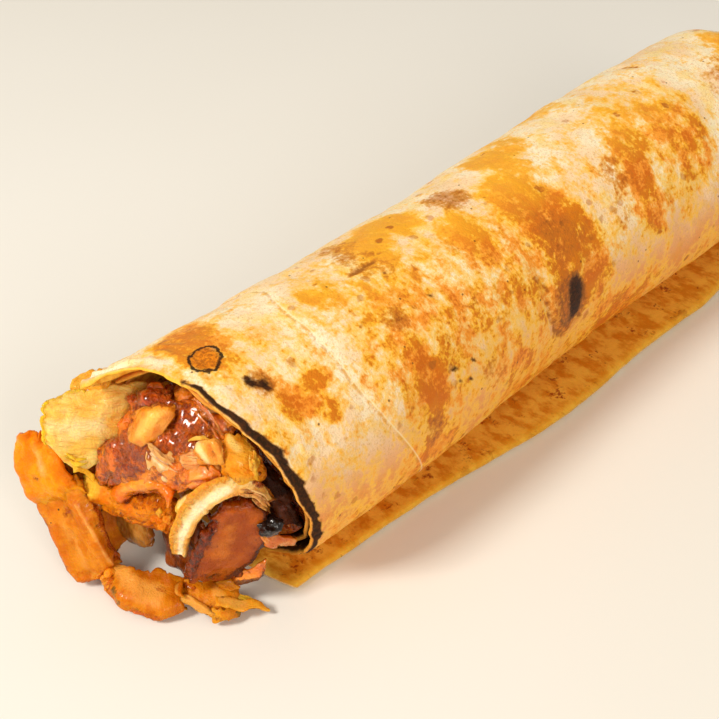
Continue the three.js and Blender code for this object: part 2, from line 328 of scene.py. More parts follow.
# A charred ring on the top: its middle, as x and the angle from below, its radius and its squash
ringShape = dict(x=1.1, angle=181, reach=3.3, stretch=0.95)

# A fine edge runs across the sheet, turning away from the mouth down the front
seam = dict(x=23, wave=4, waveAngle=67, waveHalfWidth=15, turnBy=18, turnFrom=130, turnTo=230)

# Groups of stains on the outside of the roll: x, angle, reach along and round in millimetres,
# how many patches, half size of a patch, amount
oilGroups = [
    (95, 130, 90, 8, 9, 20, 0.28),  # faint, all along the top's front
    (4, 72, 3, 5, 4, 5, 0.85), (2, 90, 2, 3, 3, 5, 0.8), (13, 137, 6, 6, 7, 3, 0.85),
    (40, 150, 3, 9, 6, 4, 0.75),
    (31, 96, 4, 2, 3, 2.5, 0.7), (60, 74, 7, 6, 6, 5, 0.95), (50, 92, 4, 4, 3, 5, 0.45),
    (72, 106, 7, 4, 4, 5, 0.7), (102, 70, 8, 6, 5, 6, 0.75),
    (94, 112, 6, 8, 6, 6, 0.8), (95, 142, 8, 9, 9, 6, 0.8), (94, 166, 7, 4, 4, 6, 0.7),
    (70, 180, 4, 4, 2, 3.5, 0.65), (127, 118, 6, 6, 5, 5, 0.7), (122, 146, 6, 3, 3, 5, 0.45),
    (150, 124, 9, 8, 5, 6, 0.6), (182, 116, 12, 12, 6, 7, 0.65), (203, 120, 4, 16, 3, 6, 0.6),
    (105, 10, 90, 20, 14, 8, 0.65),  # the back
    (105, 208, 90, 1, 10, 12, 0.6),  # along the lower edge
]
toastGroups = [
    (94, 135, 7, 6, 4, 7, 0.5), (46, 78, 5, 7, 4, 4, 0.55), (50, 100, 4, 2, 2, 4, 0.5),
    (40, 123, 2, 3, 3, 3, 0.7), (60, 142, 12, 3, 7, 1, 0.85), (44, 110, 12, 12, 5, 0.9, 0.95),
    (74, 84, 8, 6, 4, 4, 0.65), (5, 115, 2, 2, 3, 2.5, 0.75), (4, 68, 1, 2, 1, 6, 0.4),
    (88, 169, 3, 1, 3, 6, 0.9), (41, 180, 4, 3, 5, 3, 0.55), (60, 174, 4, 5, 5, 2.5, 0.45),
    (117, 134, 6, 7, 4, 4, 0.5), (175, 115, 16, 3, 3, 6, 0.5), (100, 10, 45, 8, 5, 6, 0.5),
]
charGroups = [(48, 160, 8, 5, 6, 0.5, 0.85), (60, 115, 25, 15, 4, 0.4, 0.8)]

# Charred marks that stand alone: x, angle, half length along the roll, half width round it, amount
charMarks = [
    (4, 111, 1.2, 1.3, 0.95), (6, 117, 1.2, 1.1, 0.9), (5, 114, 2.2, 0.6, 0.75), (-6, 94, 0.7, 0.6, 0.9),
    (92, 164, 3, 4.5, 1.25), (91, 172, 2, 3.5, 1.0), (86, 170, 0.7, 7, 0.5), (88, 178, 1.5, 1.5, 0.6),
    (74, 26, 2, 3, 1.0), (130, -20, 2.5, 3, 1.0),
]


# Scatters each group's patches over an oval
def scatter(groups, seed):
    random = np.random.default_rng(seed)
    marks = []
    for x, angle, reachAlong, reachRound, count, size, amount in groups:
        for _ in range(count):
            turn, far = random.uniform(0, 2 * np.pi), math.sqrt(random.uniform(0, 1))
            across = math.degrees(reachRound / centreRadius * far * math.sin(turn))
            halfX, halfRound = size * random.uniform((0.6, 0.7), (1.1, 1.4))
            marks.append((x + reachAlong * far * math.cos(turn), angle + across, halfX, halfRound, amount))
    return marks


oilMarks = scatter(oilGroups, 91)
toastMarks = scatter(toastGroups, 92)
charMarks += scatter(charGroups, 93)

# Creases pressed into the sheet: half width, depth, then x and angle of each point
creases = [
    (0.8, 0.5, [(40, 92), (46, 93), (54, 89)]),
    (0.6, 0.4, [(64, 90), (66, 100), (67, 113)]),
    (1.0, 0.6, [(82, 150), (81, 165), (84, 180), (90, 192)]),
    (0.8, 0.4, [(94, 158), (95, 172), (93, 184)]),
    (1.2, 0.5, [(150, 30), (158, 50), (160, 75)]),
    (1.2, 0.5, [(120, -20), (128, 10), (126, 40)]),
    (1.0, 0.4, [(196, 60), (190, 100), (196, 140)]),
]


def taper(x):
    drawnIn = np.clip((x - roll["length"]) / roll["taperLength"] + 1, 0, 1)
    return 1 - (1 - roll["taperKeep"]) * drawnIn ** 1.5


# Long swellings: how much, the middle and length of the wave along the roll, the angle they face
swellings = [(-0.9, 60, 190, 46), (1.2, 32, 128, 205)]


def bumps(angle, x):
    total = 0
    for amount, middle, wave, facing in swellings:
        along = amount * np.cos(2 * np.pi * (x - middle) / wave)
        total = total + along * np.maximum(0, np.cos(angle - math.radians(facing)))
    return total * smooth(-0.75, -0.3, np.sin(angle))


def outline(angle, x):
    radius = centreRadius * taper(x)
    down = -np.sin(angle)
    fullRound = radius + roll["slump"] * smooth(0, 0.7, down) + bumps(angle, x)
    return np.where(down > 0.1, np.minimum(fullRound, radius / np.maximum(down, 0.1)), fullRound)


def stepsIn(turns):
    whole = np.floor(turns)
    return whole + smooth(roll["tuckStart"], 1, turns - whole)


# Millimetres round the sheet, from the roll's underside, at an angle from there
def arcAt(degrees):
    return math.radians(degrees) * centreRadius


def axisHeight(x):
    return centreRadius * taper(x) + roll["layer"] / 2


# A point of the rolled sheet, offset outwards from its middle
def rollPoint(turns, x, offset):
    angle = np.radians(turns * 360 - 90)
    reach = outline(angle, x) - roll["lapPitch"] * stepsIn(turns) + offset
    return np.stack([x, reach * np.cos(angle), axisHeight(x) + reach * np.sin(angle)], -1)


def bump(value, middle, halfWidth):
    return np.exp(-((value - middle) / halfWidth) ** 2)


def fromBelow(angle):
    return (angle + 90) % 360 - 90


def mouthRim(turns):
    angle = turns * 360 - 90
    crinkle = sum(amount * np.sin(angle / wave) for amount, wave in rim["crinkles"])
    onTongue = np.maximum(0, np.cos(np.radians(angle - rim["insetAngle"]))) ** 8
    inset = roll["rimInset"] + roll["tongueInset"] * onTongue
    cut = rim["back"] - rim["slant"] * np.cos(np.radians(angle - rim["leadAngle"]))
    tongue = -rim["tongueLength"] * bump(fromBelow(angle), rim["tongueAngle"], rim["tongueHalfWidth"])
    return cut + tongue + crinkle + inset * smooth(0.95, 1.1, turns)


def seamAt(angle):
    turned = fromBelow(angle)
    wave = seam["wave"] * bump(turned, seam["waveAngle"], seam["waveHalfWidth"])
    return seam["x"] + wave + seam["turnBy"] * smooth(seam["turnFrom"], seam["turnTo"], turned)


def farRim(turns):
    angle = turns * 360 - 90
    crinkle = sum(amount * np.sin(angle / wave) for amount, wave in farEnd["crinkles"])
    return roll["length"] + crinkle - farEnd["inset"] * smooth(0.95, 1.1, turns)


def flapReach(x):
    widening = (roll["flapMiddle"] - roll["flapMouth"]) * smooth(0, roll["flapWidens"], x)
    start = roll["length"] - roll["flapNarrows"]
    narrowing = (roll["flapMiddle"] - roll["flapFar"]) * smooth(start, roll["length"], x)
    return roll["flapMouth"] + widening - narrowing + roll["flapWave"] * np.sin(x / 11)


# Oval patches on the sheet, each fading out across its edge
def patches(marks, x, angle):
    clear = np.ones(x.shape)
    for markX, markAngle, halfX, halfRound, amount in marks:
        around = np.radians(angle - markAngle) * centreRadius
        gone = np.hypot((x - markX) / halfX, around / halfRound)
        clear *= 1 - np.clip(amount, 0, 0.98) * (1 - smooth(0.45, 1.55, gone))
    return 1 - clear


def buildBread():
    cells = bread["flapCells"] + bread["lapCells"] + bread["innerLapCells"]
    count = np.arange(cells + 1)
    onFlap = np.clip(1 - count / bread["flapCells"], 0, 1)[:, None]
    firstLap = np.clip((count - bread["flapCells"]) / bread["lapCells"], 0, 1)
    secondLap = np.clip((count - bread["flapCells"] - bread["lapCells"]) / bread["innerLapCells"], 0, 1)
    turns = (firstLap + secondLap)[:, None]
    angle = turns * 360 - 90

    along = (np.arange(bread["lengthCells"] + 1) / bread["lengthCells"])[None] ** bread["mouthCrowding"]
    ragged = bread["raggedEdge"] * rough(np.stack([turns * 40, turns * 0, turns * 0], -1), 0.6, 3, 4)
    flapRim = bread["flapInset"] + bread["flapCorner"] * onFlap ** 3
    low = np.where(onFlap > 0, flapRim, mouthRim(turns)) + ragged
    x = low + (farRim(turns) - low) * along
    rimDistance = x - low

    # The soft and small waves are the same in every lap, so that the laps nest.
    # Ripples, creases and the seam are only in the outer lap.
    sideways = bread["waveRadius"] * np.cos(np.radians(angle)) + 0 * x
    upwards = bread["waveRadius"] * np.sin(np.radians(angle)) + 0 * x
    around = np.stack([x, sideways, upwards], -1)
    wave = bread["softWave"] * rough(around, bread["softSize"], 11, 2)
    wave = wave + bread["smallWave"] * rough(around, bread["smallSize"], 21, 3)
    outer = smooth(1.02, 0.98, turns)
    near = smooth(*bread["rimWaveReach"], rimDistance)
    rimWave = bread["rimWave"] * rough(around * (1.6, 1, 1), bread["rimWaveSize"], 31, 2)
    wave = wave + outer * near * rimWave
    tongue = bump(angle, rim["rippleAngle"], rim["rippleHalfWidth"]) * outer
    tongue = tongue * smooth(*bread["rippleReach"], rimDistance)
    ripple = np.sin(rimDistance * 1.9 + angle / 9)
    wave = wave + tongue * bread["tongueRipple"] * (ripple + rough(around, bread["rippleSize"], 41, 2))
    sheetSpot = np.stack([x, np.radians(angle) * centreRadius + 0 * x], -1)
    creased = np.zeros_like(x)
    for halfWidth, depth, path in creases:
        line = [(px, math.radians(pa) * centreRadius) for px, pa in path]
        gone = pathDistance(sheetSpot, line)
        wave = wave - outer * depth * np.exp(-(gone / halfWidth) ** 2)
        creased = np.maximum(creased, outer * np.exp(-(gone / (0.45 * halfWidth)) ** 2))
    seamDistance = x - seamAt(angle + 0 * x)
    seamRise = smooth(-0.5, 0.3, seamDistance) - 0.5 * smooth(0.3, 14, seamDistance)
    wave = wave + outer * bread["seamStep"] * seamRise
    wave = wave * smooth(-0.93, -0.6, np.sin(np.radians(angle)))

    # The layer thins out round its edges
    half = bread["layer"] / 2
    edge = np.minimum(rimDistance, farRim(turns) - x)
    edge = np.minimum(edge, flapReach(x) * (1 - onFlap) + 40 * (onFlap == 0))
    edge = np.minimum(edge, (2 - turns) * bread["lapWidth"])
    thin = np.sqrt(np.clip(1 - (1 - np.clip(edge / half, 0, 1)) ** 2, 0, 1))
    inLap = angle - 360 * (turns > 1)
    tapering = smooth(112, 84, inLap) * smooth(-40, 0, inLap)
    thin = thin * (1 - (0.35 + 0.2 * tapering) * smooth(4, 0, rimDistance) * (onFlap == 0))

    sides = []
    for side in (1, -1):
        offset = wave + side * half * thin
        rolled = rollPoint(turns, x, offset)
        flapSpot = np.stack([x, 30 * onFlap + 0 * x, 0 * x], -1)
        lift = bread["flapLift"] * (1 + rough(flapSpot, 9, 51, 3))
        lift = lift * smooth(0.1, 0.5, onFlap)
        flat = np.stack([x, -flapReach(x) * onFlap, half + lift - side * half * thin], -1)
        sides.append(np.where(onFlap[..., None] > 0, flat, rolled))
    faces, onEdge = closeGrids(sides[0])

    arc = np.where(onFlap > 0, -flapReach(x) * onFlap, np.radians(angle + 90) * centreRadius)
    markAngle = angle + 0 * x
    oil = patches(oilMarks, x, markAngle)
    toast = patches(toastMarks, x, markAngle)
    char = patches(charMarks, x, markAngle)
    rimChar = smooth(*charBand["start"], angle) * smooth(*charBand["end"], angle) * smooth(1.05, 0.95, turns)
    bandWidth = charBand["width"] + charBand["wider"] * smooth(*charBand["widerAt"], angle)
    bandWidth = bandWidth - charBand["narrower"] * smooth(*charBand["narrowerAt"], angle)
    bandWidth = bandWidth * (1 + 0.5 * rough(np.stack([turns * 60, turns * 0, turns * 0], -1), 1.5, 71, 3))
    band = smooth(bandWidth * 1.25, bandWidth * 0.75, rimDistance) * smooth(0.1, 0.4, rimDistance)
    char = np.maximum(char, 1.1 * rimChar * band)
    brownRim = smooth(*rimLooks["brownStart"], angle) * smooth(*rimLooks["brownReach"], rimDistance) * outer
    toast = np.maximum(toast, rimLooks["brown"] * brownRim)
    yellow = smooth(*rimLooks["yellowReach"], rimDistance) * smooth(*rimLooks["yellowEnd"], angle)
    yellow = yellow * smooth(*rimLooks["yellowStart"], angle) * outer
    shadedAndSauced = smooth(*rimLooks["shadeSauceStart"], inLap) * smooth(*rimLooks["shadeSauceEnd"], inLap)
    shadedAndSauced = shadedAndSauced * smooth(*rimLooks["shadeSauceReach"], rimDistance)
    cutEdge = smooth(*rimLooks["cutReach"], rimDistance) * (onFlap == 0)

    def bothSides(outside, inside):
        return joinGrids(np.stack(outside, -1), np.stack(inside, -1), onEdge)

    blank = np.zeros_like(x)
    lap = turns - onFlap + blank
    rims = np.where(onEdge, 0.5, 1.0)
    fronts = smooth(1.1, 0.9, turns) * (onFlap == 0)
    flapEdge = smooth(3.5, 0.3, flapReach(x) * (1 - onFlap)) * (onFlap > 0)
    edges = [rimDistance, seamDistance, lap]
    flapTints = [yellow, onFlap + blank, flapEdge + blank]
    marks = {
        "sheet": bothSides([x, arc, rims], [x, arc, blank]),
        "edges": bothSides(edges, edges),
        "stains": bothSides([oil * fronts, toast * fronts, char * fronts], [blank, blank, blank]),
        "tints": bothSides(flapTints, flapTints),
        "mouth": bothSides([shadedAndSauced * (turns > 1.03), cutEdge, creased], [shadedAndSauced, cutEdge, blank]),
    }
    points = joinGrids(*sides, onEdge)
    return makePiece("breadSheet", points, faces, marks, breadFinish(), ["flatbread"])


def breadFinish():
    finish = Finish("toastedBread", {
        "Subsurface Weight": 0.1, "Subsurface Scale": 0.002, "Coat Roughness": 0.25,
        "Specular IOR Level": 0.12,
    })
    sheet = finish.marks("sheet")
    x, arc, outside = finish.split(sheet)
    seamGone, lap = finish.split(finish.marks("edges"))[1:]
    oil, toast, char = finish.split(finish.marks("stains"))
    yellow, flap, flapEdge = finish.split(finish.marks("tints"))
    shadedAndSauced, cutEdge, creased = finish.split(finish.marks("mouth"))
    streaks = finish.stretch(sheet, (1, 0.55, 1))

    cloud = finish.noise(sheet, 15, 2)
    mottle = finish.noise(streaks, 3.6, 5, 0.62)
    blotch = finish.noise(sheet, 6.5, 4)
    patch = finish.noise(sheet, 2.3, 5, 0.62)
    grain = finish.noise(sheet, 1.0, 4, 0.6)
    fine = finish.noise(sheet, 0.42, 2)

    # Dry bread: cream, peach and yellow clouds under a sandy speckle
    tint = finish.mix(cloud.between(0.4, 0.6), colour(bread["cream"]), colour(bread["peach"]))
    tint = finish.mix(blotch.between(0.5, 0.66) * 0.8, tint, colour(bread["yellow"]))
    tint = finish.mix(patch.between(0.56, 0.7) * 0.6, tint, colour(bread["flour"]))
    # Painted shade towards the roll's underside, in a deeper orange
    lower = arc.between(arcAt(228), arcAt(285)) * (1 - flap)
    tint = finish.mix(lower * 0.9, tint, colour(bread["low"]))
    tint = finish.mix(grain.between(0.52, 0.68) * 0.4, tint, colour(bread["tan"]))
    tint = finish.mix(fine.between(0.54, 0.72) * 0.45, tint, colour(bread["speckle"]))

    # Oil and sauce soaked through: a yellow halo, then orange, then deep orange
    soak = oil * 1.2 + toast * 0.25 + (mottle - 0.5) * 2.3 + (patch - 0.5) * 2.3 + (grain - 0.5) * 0.8
    oilTint = finish.mix(blotch.between(0.42, 0.58), colour(bread["oil"]), colour(bread["yellowOil"]))
    onTop = (1 - arc.between(arcAt(178), arcAt(222))) * (x.between(12, 34) * 0.7 + 0.3)
    oilTint = finish.mix(onTop * 0.75, oilTint, colour(bread["yellowOil"]))
    tint = finish.mix(soak.between(0.0, 0.55) * 0.75, tint, colour(bread["halo"]))
    stain = soak.between(0.38, 0.88)
    tint = finish.mix(stain * 0.85, tint, oilTint)
    deepSoak = (soak + (blotch - 0.5) * 1.2 + (grain - 0.5) * 0.8).between(0.72, 1.3)
    tint = finish.mix(deepSoak * (0.8 - onTop * 0.55), tint, colour(bread["deepOil"]))

    warped = finish.node("VectorMath", {"operation": "ADD"}, {0: sheet, 1: finish.jitter(sheet, 2.2, 2.4)})
    freckles = finish.specks(warped, 4.6, 1.25, 0.4) * (cloud + (blotch - 0.5) * 1.5).between(0.42, 0.58)
    tint = finish.mix(freckles * (0.5 + stain * 0.4) * outside, tint, colour(bread["freckle"]))
    # Toast marks, and browner along the middle of each crease
    toastAndCreases = toast + creased * 0.9 + (patch - 0.5) * 1.7 + (grain - 0.5) * 1.1 + (mottle - 0.5) * 0.6
    tint = finish.mix(toastAndCreases.between(0.35, 0.95) * 0.7, tint, colour(bread["toast"]))
    tint = finish.mix(toastAndCreases.between(0.85, 1.3) * 0.6, tint, colour(bread["toastDark"]))
    tint = finish.mix(yellow * (0.4 + patch.between(0.4, 0.6) * 0.5), tint, colour(bread["yellowEdge"]))

    # Inner faces and the flap: yellow with oil, with dark sauce spots
    warm = finish.mix(mottle.between(0.42, 0.6), colour(bread["inside"]), colour(bread["insideDeep"]))
    warm = finish.mix(patch.between(0.55, 0.7) * 0.5, warm, colour(bread["insideYellow"]))
    spots = (blotch + (grain - 0.5) * 0.5 + (patch - 0.5) * 0.5).between(0.6, 0.72)
    warm = finish.mix(spots * 0.85, warm, colour(bread["sauce"]))
    warm = finish.mix(flapEdge * 0.7, warm, colour(bread["flapEdge"]))
    tint = finish.mix(outside.between(0.3, 0.8), warm, tint)
    toastedRim = (patch + (grain - 0.5) * 0.6).between(0.52, 0.68)
    rimTint = finish.mix(toastedRim, colour(bread["rim"]), colour(bread["toast"]))
    rimTint = finish.mix(yellow * 0.8, rimTint, colour(bread["rimYellow"]))
    # The cut edge takes the painted underside shade too
    rimTint = finish.mix(lower * 0.6, rimTint, colour(bread["rimUndersideShade"]))
    tint = finish.mix(cutEdge * 0.85, tint, rimTint)
    # Painted shade, with dark sauce, on the inner faces just inside the rim
    shadeAndSauce = shadedAndSauced * (1 - cutEdge) * (0.92 - patch.between(0.58, 0.68) * 0.5)
    tint = finish.mix(shadeAndSauce, tint, colour(bread["shadeAndSauce"]))

    # The seam's fine edge: a painted highlight along it and a painted shadow beside it
    seamHighlight = (1 - abs(seamGone + 0.25).between(0.05, 0.32)) * outside
    seamShade = (1 - abs(seamGone + 0.8).between(0.1, 0.6)) * outside
    tint = finish.mix(seamHighlight * 0.45, tint, colour(bread["seamHighlightTint"]))
    tint = finish.mix(seamShade * patch.between(0.4, 0.55) * 0.45, tint, colour(bread["seamShadowTint"]))

    # Char: a ring, patches and dots
    ringX = (x - ringShape["x"]) * ringShape["stretch"]
    ringPlace = finish.node("CombineXYZ", {}, {0: ringX, 1: arc - arcAt(ringShape["angle"]), 2: 0.0})
    ringGone = finish.node("VectorMath", {"operation": "LENGTH"}, {0: ringPlace}, 1)
    ringAway = ringGone - ringShape["reach"] + (blotch - 0.5) * 4.0 + (patch - 0.5) * 1.6
    ringLine = abs(ringAway) + (grain - 0.5) * 1.0
    onFront = outside * (1 - lap.between(0.9, 1.0))
    ring = (1 - ringLine.between(0.16, 0.5)) * onFront
    ringFill = (1 - ringAway.between(-0.9, 0.2)) * onFront
    ringTint = finish.mix(grain.between(0.4, 0.6), colour(bread["ringPale"]), colour(bread["ringBrown"]))
    tint = finish.mix(ringFill * 0.85, tint, ringTint)
    scorch = char * 1.1 + (patch - 0.5) * 0.9 + (grain - 0.5) * 0.7
    burnt = finish.node("Math", {"operation": "MAXIMUM"}, {0: scorch.between(0.55, 0.95), 1: ring})
    tint = finish.mix(scorch.between(0.2, 0.7) * 0.8, tint, colour(bread["scorch"]))
    charTint = finish.mix(grain.between(0.4, 0.65), colour(bread["char"]), colour(bread["charBrown"]))
    tint = finish.mix(burnt * 0.95, tint, charTint)
    dots = finish.specks(sheet, 3.4, 0.32, 0.28) * outside
    tint = finish.mix(dots * 0.8, tint, colour(bread["dot"]))

    relief = blotch * 0.4 + patch * 0.3 + grain * 0.25 + fine * 0.15 - burnt * 0.15
    roughness = 0.68 - stain * 0.16 + burnt * 0.1 - (1 - outside) * 0.15
    coat = stain * 0.1 + (1 - outside) * 0.2
    return finish.wear(tint=tint, roughness=roughness, coat=coat, normal=finish.bump(relief, 0.8, 0.8))


buildBread()
print("bread sheet rolled")


# The finish of every piece of meat
def meatFinish(name, look):
    look = {**meatLook, **look}
    finish = Finish(name, {
        "Subsurface Weight": look["glow"], "Subsurface Scale": 0.004,
        "Subsurface Radius": (1.0, 0.35, 0.12), "Coat Roughness": look["coatRoughness"],
        "Specular IOR Level": look["shine"],
    })
    grain = finish.marks("grain")
    bark, sauce, light = finish.split(finish.marks("look"))
    edge, height = finish.split(finish.marks("relief"))[:2]
    fibres = finish.noise(finish.stretch(grain, (0.14, 1, 1)), 0.9, 2, 0.6)
    threads = finish.noise(finish.stretch(grain, (0.2, 1, 1)), 0.45, 2)
    blotch = finish.noise(grain, 4.5, 4, 0.6)
    crumb = finish.noise(grain, 1.0, 4, 0.65)
    fine = finish.noise(grain, 0.35, 2)

    # Meat: paler inside, deeper towards its edges and along the fibres, and darker in its recesses as
    # painted shade
    tint = finish.mix(blotch.between(0.4, 0.6), colour(look["mid"]), colour(look["pale"]))
    nearEdge = 1 - (edge + (blotch - 0.5) * 3.5 + (crumb - 0.5) * 1.5).between(0.1, 2.4)
    tint = finish.mix(nearEdge * look["rim"], tint, colour(look["deep"]))
    tint = finish.mix((height + (crumb - 0.5) * 0.4).between(0.05, -0.7) * 0.5, tint, colour(look["deep"]))
    tint = finish.mix(fibres.between(0.5, 0.7) * look["fibre"], tint, colour(look["deep"]))
    tint = finish.mix(threads.between(0.54, 0.7) * look["fibre"] * 0.5, tint, colour(look["pale"]))
    # The light mark: paler meat, and painted highlights on ridges and on the tops of bumps
    lit = (light + (blotch - 0.5) * 0.7 + (fibres - 0.5) * 0.35).between(0.2, 0.9)
    tint = finish.mix(lit * 0.9, tint, colour(look["light"]))

    # Browned crust, sauce and herbs
    browned = (bark + (crumb - 0.5) * 1.5 + (blotch - 0.5) * 1.1).between(0.35, 0.8)
    barkTint = finish.mix(crumb.between(0.5, 0.64), colour(look["bark"]), colour(look["barkDark"]))
    tint = finish.mix(browned * 0.85, tint, barkTint)
    wet = (sauce + (crumb - 0.5) * 1.2 + (blotch - 0.5) * 1.2 - height * 0.5).between(0.3, 0.75)
    sauceTint = finish.mix(crumb.between(0.42, 0.62), colour(look["sauce"]), colour(look["sauceDark"]))
    tint = finish.mix(wet * 0.88, tint, sauceTint)
    tint = finish.mix(fine.between(0.5, 0.68) * 0.15, tint, colour(look["deep"]))
    tint = finish.mix(finish.specks(grain, 2.3, 0.28, look["herbs"]), tint, colour(look["herb"]))

    drops = finish.noise(grain, 0.9, 3, 0.6).between(0.35, 0.7)
    relief = (fibres * 1.6 + threads * 0.4) * look["fibre"] + crumb * (0.35 + browned * 0.4)
    relief = relief + fine * 0.12 + drops * wet * 0.8
    roughness = look["roughness"] + (crumb - 0.5) * 0.2 - wet * 0.1
    coat = look["coat"] + wet * 0.35 + (crumb + (blotch - 0.5) * 0.5).between(0.5, 0.62) * 0.3
    return finish.wear(tint=tint, roughness=roughness, coat=coat, normal=finish.bump(relief, look["relief"]))


meatLook = dict(
    pale="#fbb44c", mid="#f48c16", deep="#cf5a06", light="#ffdf96", bark="#b8560a", barkDark="#572306",
    sauce="#c24c0a", sauceDark="#8a2c04", fibre=0.25, herbs=0.04, roughness=0.3, coat=0.0,
    coatRoughness=0.1, shine=0.12, glow=0.4, relief=1.4, rim=0.4, herb="#3b2a10",
)


# Makes a piece of meat with a finish of its own
def makeMeat(name, made, look, nodes, finishName=None):
    finish = meatFinish(finishName or name + "Meat", look)
    return makePiece(name, made["points"], made["faces"], made["marks"], finish, nodes)


sliceShape = dict(
    thickness=3, cell=0.42, rounded=0.04, ragged=0.9, torn=1.6, grainAngle=0, fibre=0.16, lumps=0.35,
    thin=0.65, thinning=2.2, edgeRound=0.5, edgeBend=0.8, lumpSize=4.2, grit=0.2, wedge={}, strokes=[],
    bark={}, sauced=0, seed=1,
    fraySize=3.4, bendSize=5, gritSize=1.5, fibreSize=(6, 1.5, 2), curl=0.8, curlSize=6,
)


# Narrow notches, from 0 to about 1, where an edge has torn
def tears(spots, seed):
    return np.maximum(0, rough(spots, 1.5, seed, 2) - 0.25) * 1.6


# Grid positions from 0 to 1, closer together near both ends
def spread(cells):
    even = np.arange(cells + 1) / cells
    return even - 0.7 * np.sin(2 * np.pi * even) / (2 * np.pi)


def lengthOf(rows):
    return np.linalg.norm(np.diff(rows, axis=0), axis=-1).sum(0).mean()


# Rows of points down a slice: at each point of its spine, the offsets across it times its width
# there. The offsets turn from across to acrossEnd on the way down.
def sliceRows(shape):
    spine = np.array(shape["spine"], float)[:, None]
    start = np.array(shape["across"], float)
    end = np.array(shape.get("acrossEnd", start), float)
    widths = np.array(shape.get("widths", np.ones(len(spine))))[:, None, None]
    share = np.linspace(0, 1, len(spine))[:, None, None]
    return spine + (start + (end - start) * share) * widths


# A slice is a bent slab through its rows. Strokes paint or press along lines given in shares of
# its length and width.
def sliceGrid(shape):
    shape = {**sliceShape, **shape}
    rows = np.array(shape["rows"], float) if "rows" in shape else sliceRows(shape)
    down, across = lengthOf(rows), lengthOf(rows.swapaxes(0, 1))
    u, v = np.meshgrid(
        spread(max(8, round(down / shape["cell"]))), spread(max(8, round(across / shape["cell"]))),
        indexing="ij",
    )
    edgeU, edgeV = 2 * u - 1, 2 * v - 1
    seed = shape["seed"]

    # Round the corners and fray the edges
    zero = np.zeros_like(u)
    placeU = np.stack([v * across, zero + np.sign(edgeU) * 9, zero], -1)
    placeV = np.stack([u * down, zero + np.sign(edgeV) * 9, zero], -1)
    frayU = shape["ragged"] * rough(placeU, shape["fraySize"], seed, 4)
    frayU = frayU + shape["torn"] * tears(placeU, seed + 4)
    frayV = shape["ragged"] * rough(placeV, shape["fraySize"], seed + 5, 4)
    frayV = frayV + shape["torn"] * tears(placeV, seed + 9)
    pullU = shape["rounded"] * edgeV ** 4 + frayU * 2 / down
    pullV = shape["rounded"] * edgeU ** 4 + frayV * 2 / across
    readU = 0.5 + 0.5 * edgeU * (1 - pullU * np.abs(edgeU) ** 3)
    readV = 0.5 + 0.5 * edgeV * (1 - pullV * np.abs(edgeV) ** 3)

    lines = curveAt(rows, readU)
    middle = acrossRows(lines, readV)
    normal = normalsOf(middle)

    spot = np.stack([u * down, v * across], -1)
    axes = grainAxes(middle, shape["grainAngle"])
    along, beside, through = np.moveaxis(middle @ axes.T, -1, 0)
    curlSize = shape["curlSize"]
    curl = shape["curl"] * wobble(np.stack([along / curlSize, beside / curlSize, zero + seed], -1))

    def onPaths(kind, signed=False):
        total = np.zeros_like(u)
        for stroke, amount, width, path in shape["strokes"]:
            if stroke == kind:
                line = [(a * down, b * across) for a, b in path]
                mark = amount * np.exp(-(pathDistance(spot, line) / width) ** 2)
                total = total + mark if signed else np.maximum(total, mark)
        return total

    distances = {
        "start": u * down, "end": (1 - u) * down, "left": v * across, "right": (1 - v) * across,
    }
    edge = np.minimum.reduce(list(distances.values()))
    half = shape["thickness"] / 2
    profile = np.sqrt(np.clip(1 - (1 - np.clip(edge / shape["edgeRound"], 0, 1)) ** 2, 0, 1))
    profile = profile * (shape["thin"] + (1 - shape["thin"]) * smooth(0, shape["thinning"], edge))
    for label, reach in shape["wedge"].items():
        profile = profile * (0.12 + 0.88 * smooth(0, reach, distances[label]))

    bendSpot = np.stack([spot[..., 0], spot[..., 1], zero + seed], -1)
    edgeBend = shape["edgeBend"] * rough(bendSpot, shape["bendSize"], seed + 8, 2)
    edgeBend = edgeBend * smooth(4, 0, edge)
    longFibre, wideFibre, deepFibre = shape["fibreSize"]
    sides, reliefs = [], []
    for side in (1, -1):
        depth = through / deepFibre + side * 4 + seed
        fibreSpot = np.stack([along / longFibre, (beside + curl) / wideFibre, depth], -1)
        fibres = shape["fibre"] * rough(fibreSpot, 1, seed + 1, 2)
        fibres += shape["grit"] * rough(middle + side * 3, shape["gritSize"], seed + 3, 2)
        lumpSpot = np.stack([spot[..., 0], spot[..., 1], zero + side * 15 + seed * 7], -1)
        lumps = shape["lumps"] * rough(lumpSpot, shape["lumpSize"], seed + 2, 4)
        press = onPaths("raise", True) * (side > 0)
        height = (half + fibres + lumps) * profile + press * smooth(0, 1, edge)
        sides.append(middle + normal * (side * height + edgeBend)[..., None])
        # The height here also darkens low spots in the finish, as painted shade
        reliefs.append(np.stack([edge, fibres + lumps + 0.6 * press, zero], -1))
    faces, onEdge = closeGrids(sides[0])

    barked = np.zeros_like(u)
    for label, width in shape["bark"].items():
        barked = np.maximum(barked, np.exp(-(distances[label] / width) ** 2))
    barked = np.clip(np.maximum(barked, onPaths("bark")), 0, 1.2)
    sauced = np.clip(shape["sauced"] + onPaths("sauce"), 0, 1.2)
    light = np.clip(onPaths("light"), 0, 1.2)
    looks = np.stack([barked, sauced, light], -1)
    grains = [np.stack([along, beside + curl, through + seed * 11], -1) for side in (1, -1)]
    return dict(
        points=joinGrids(*sides, onEdge), faces=faces,
        marks={
            "grain": joinGrids(*grains, onEdge), "look": joinGrids(looks, looks, onEdge),
            "relief": joinGrids(*reliefs, onEdge),
        },
        front=sides[0], normal=normal,
    )


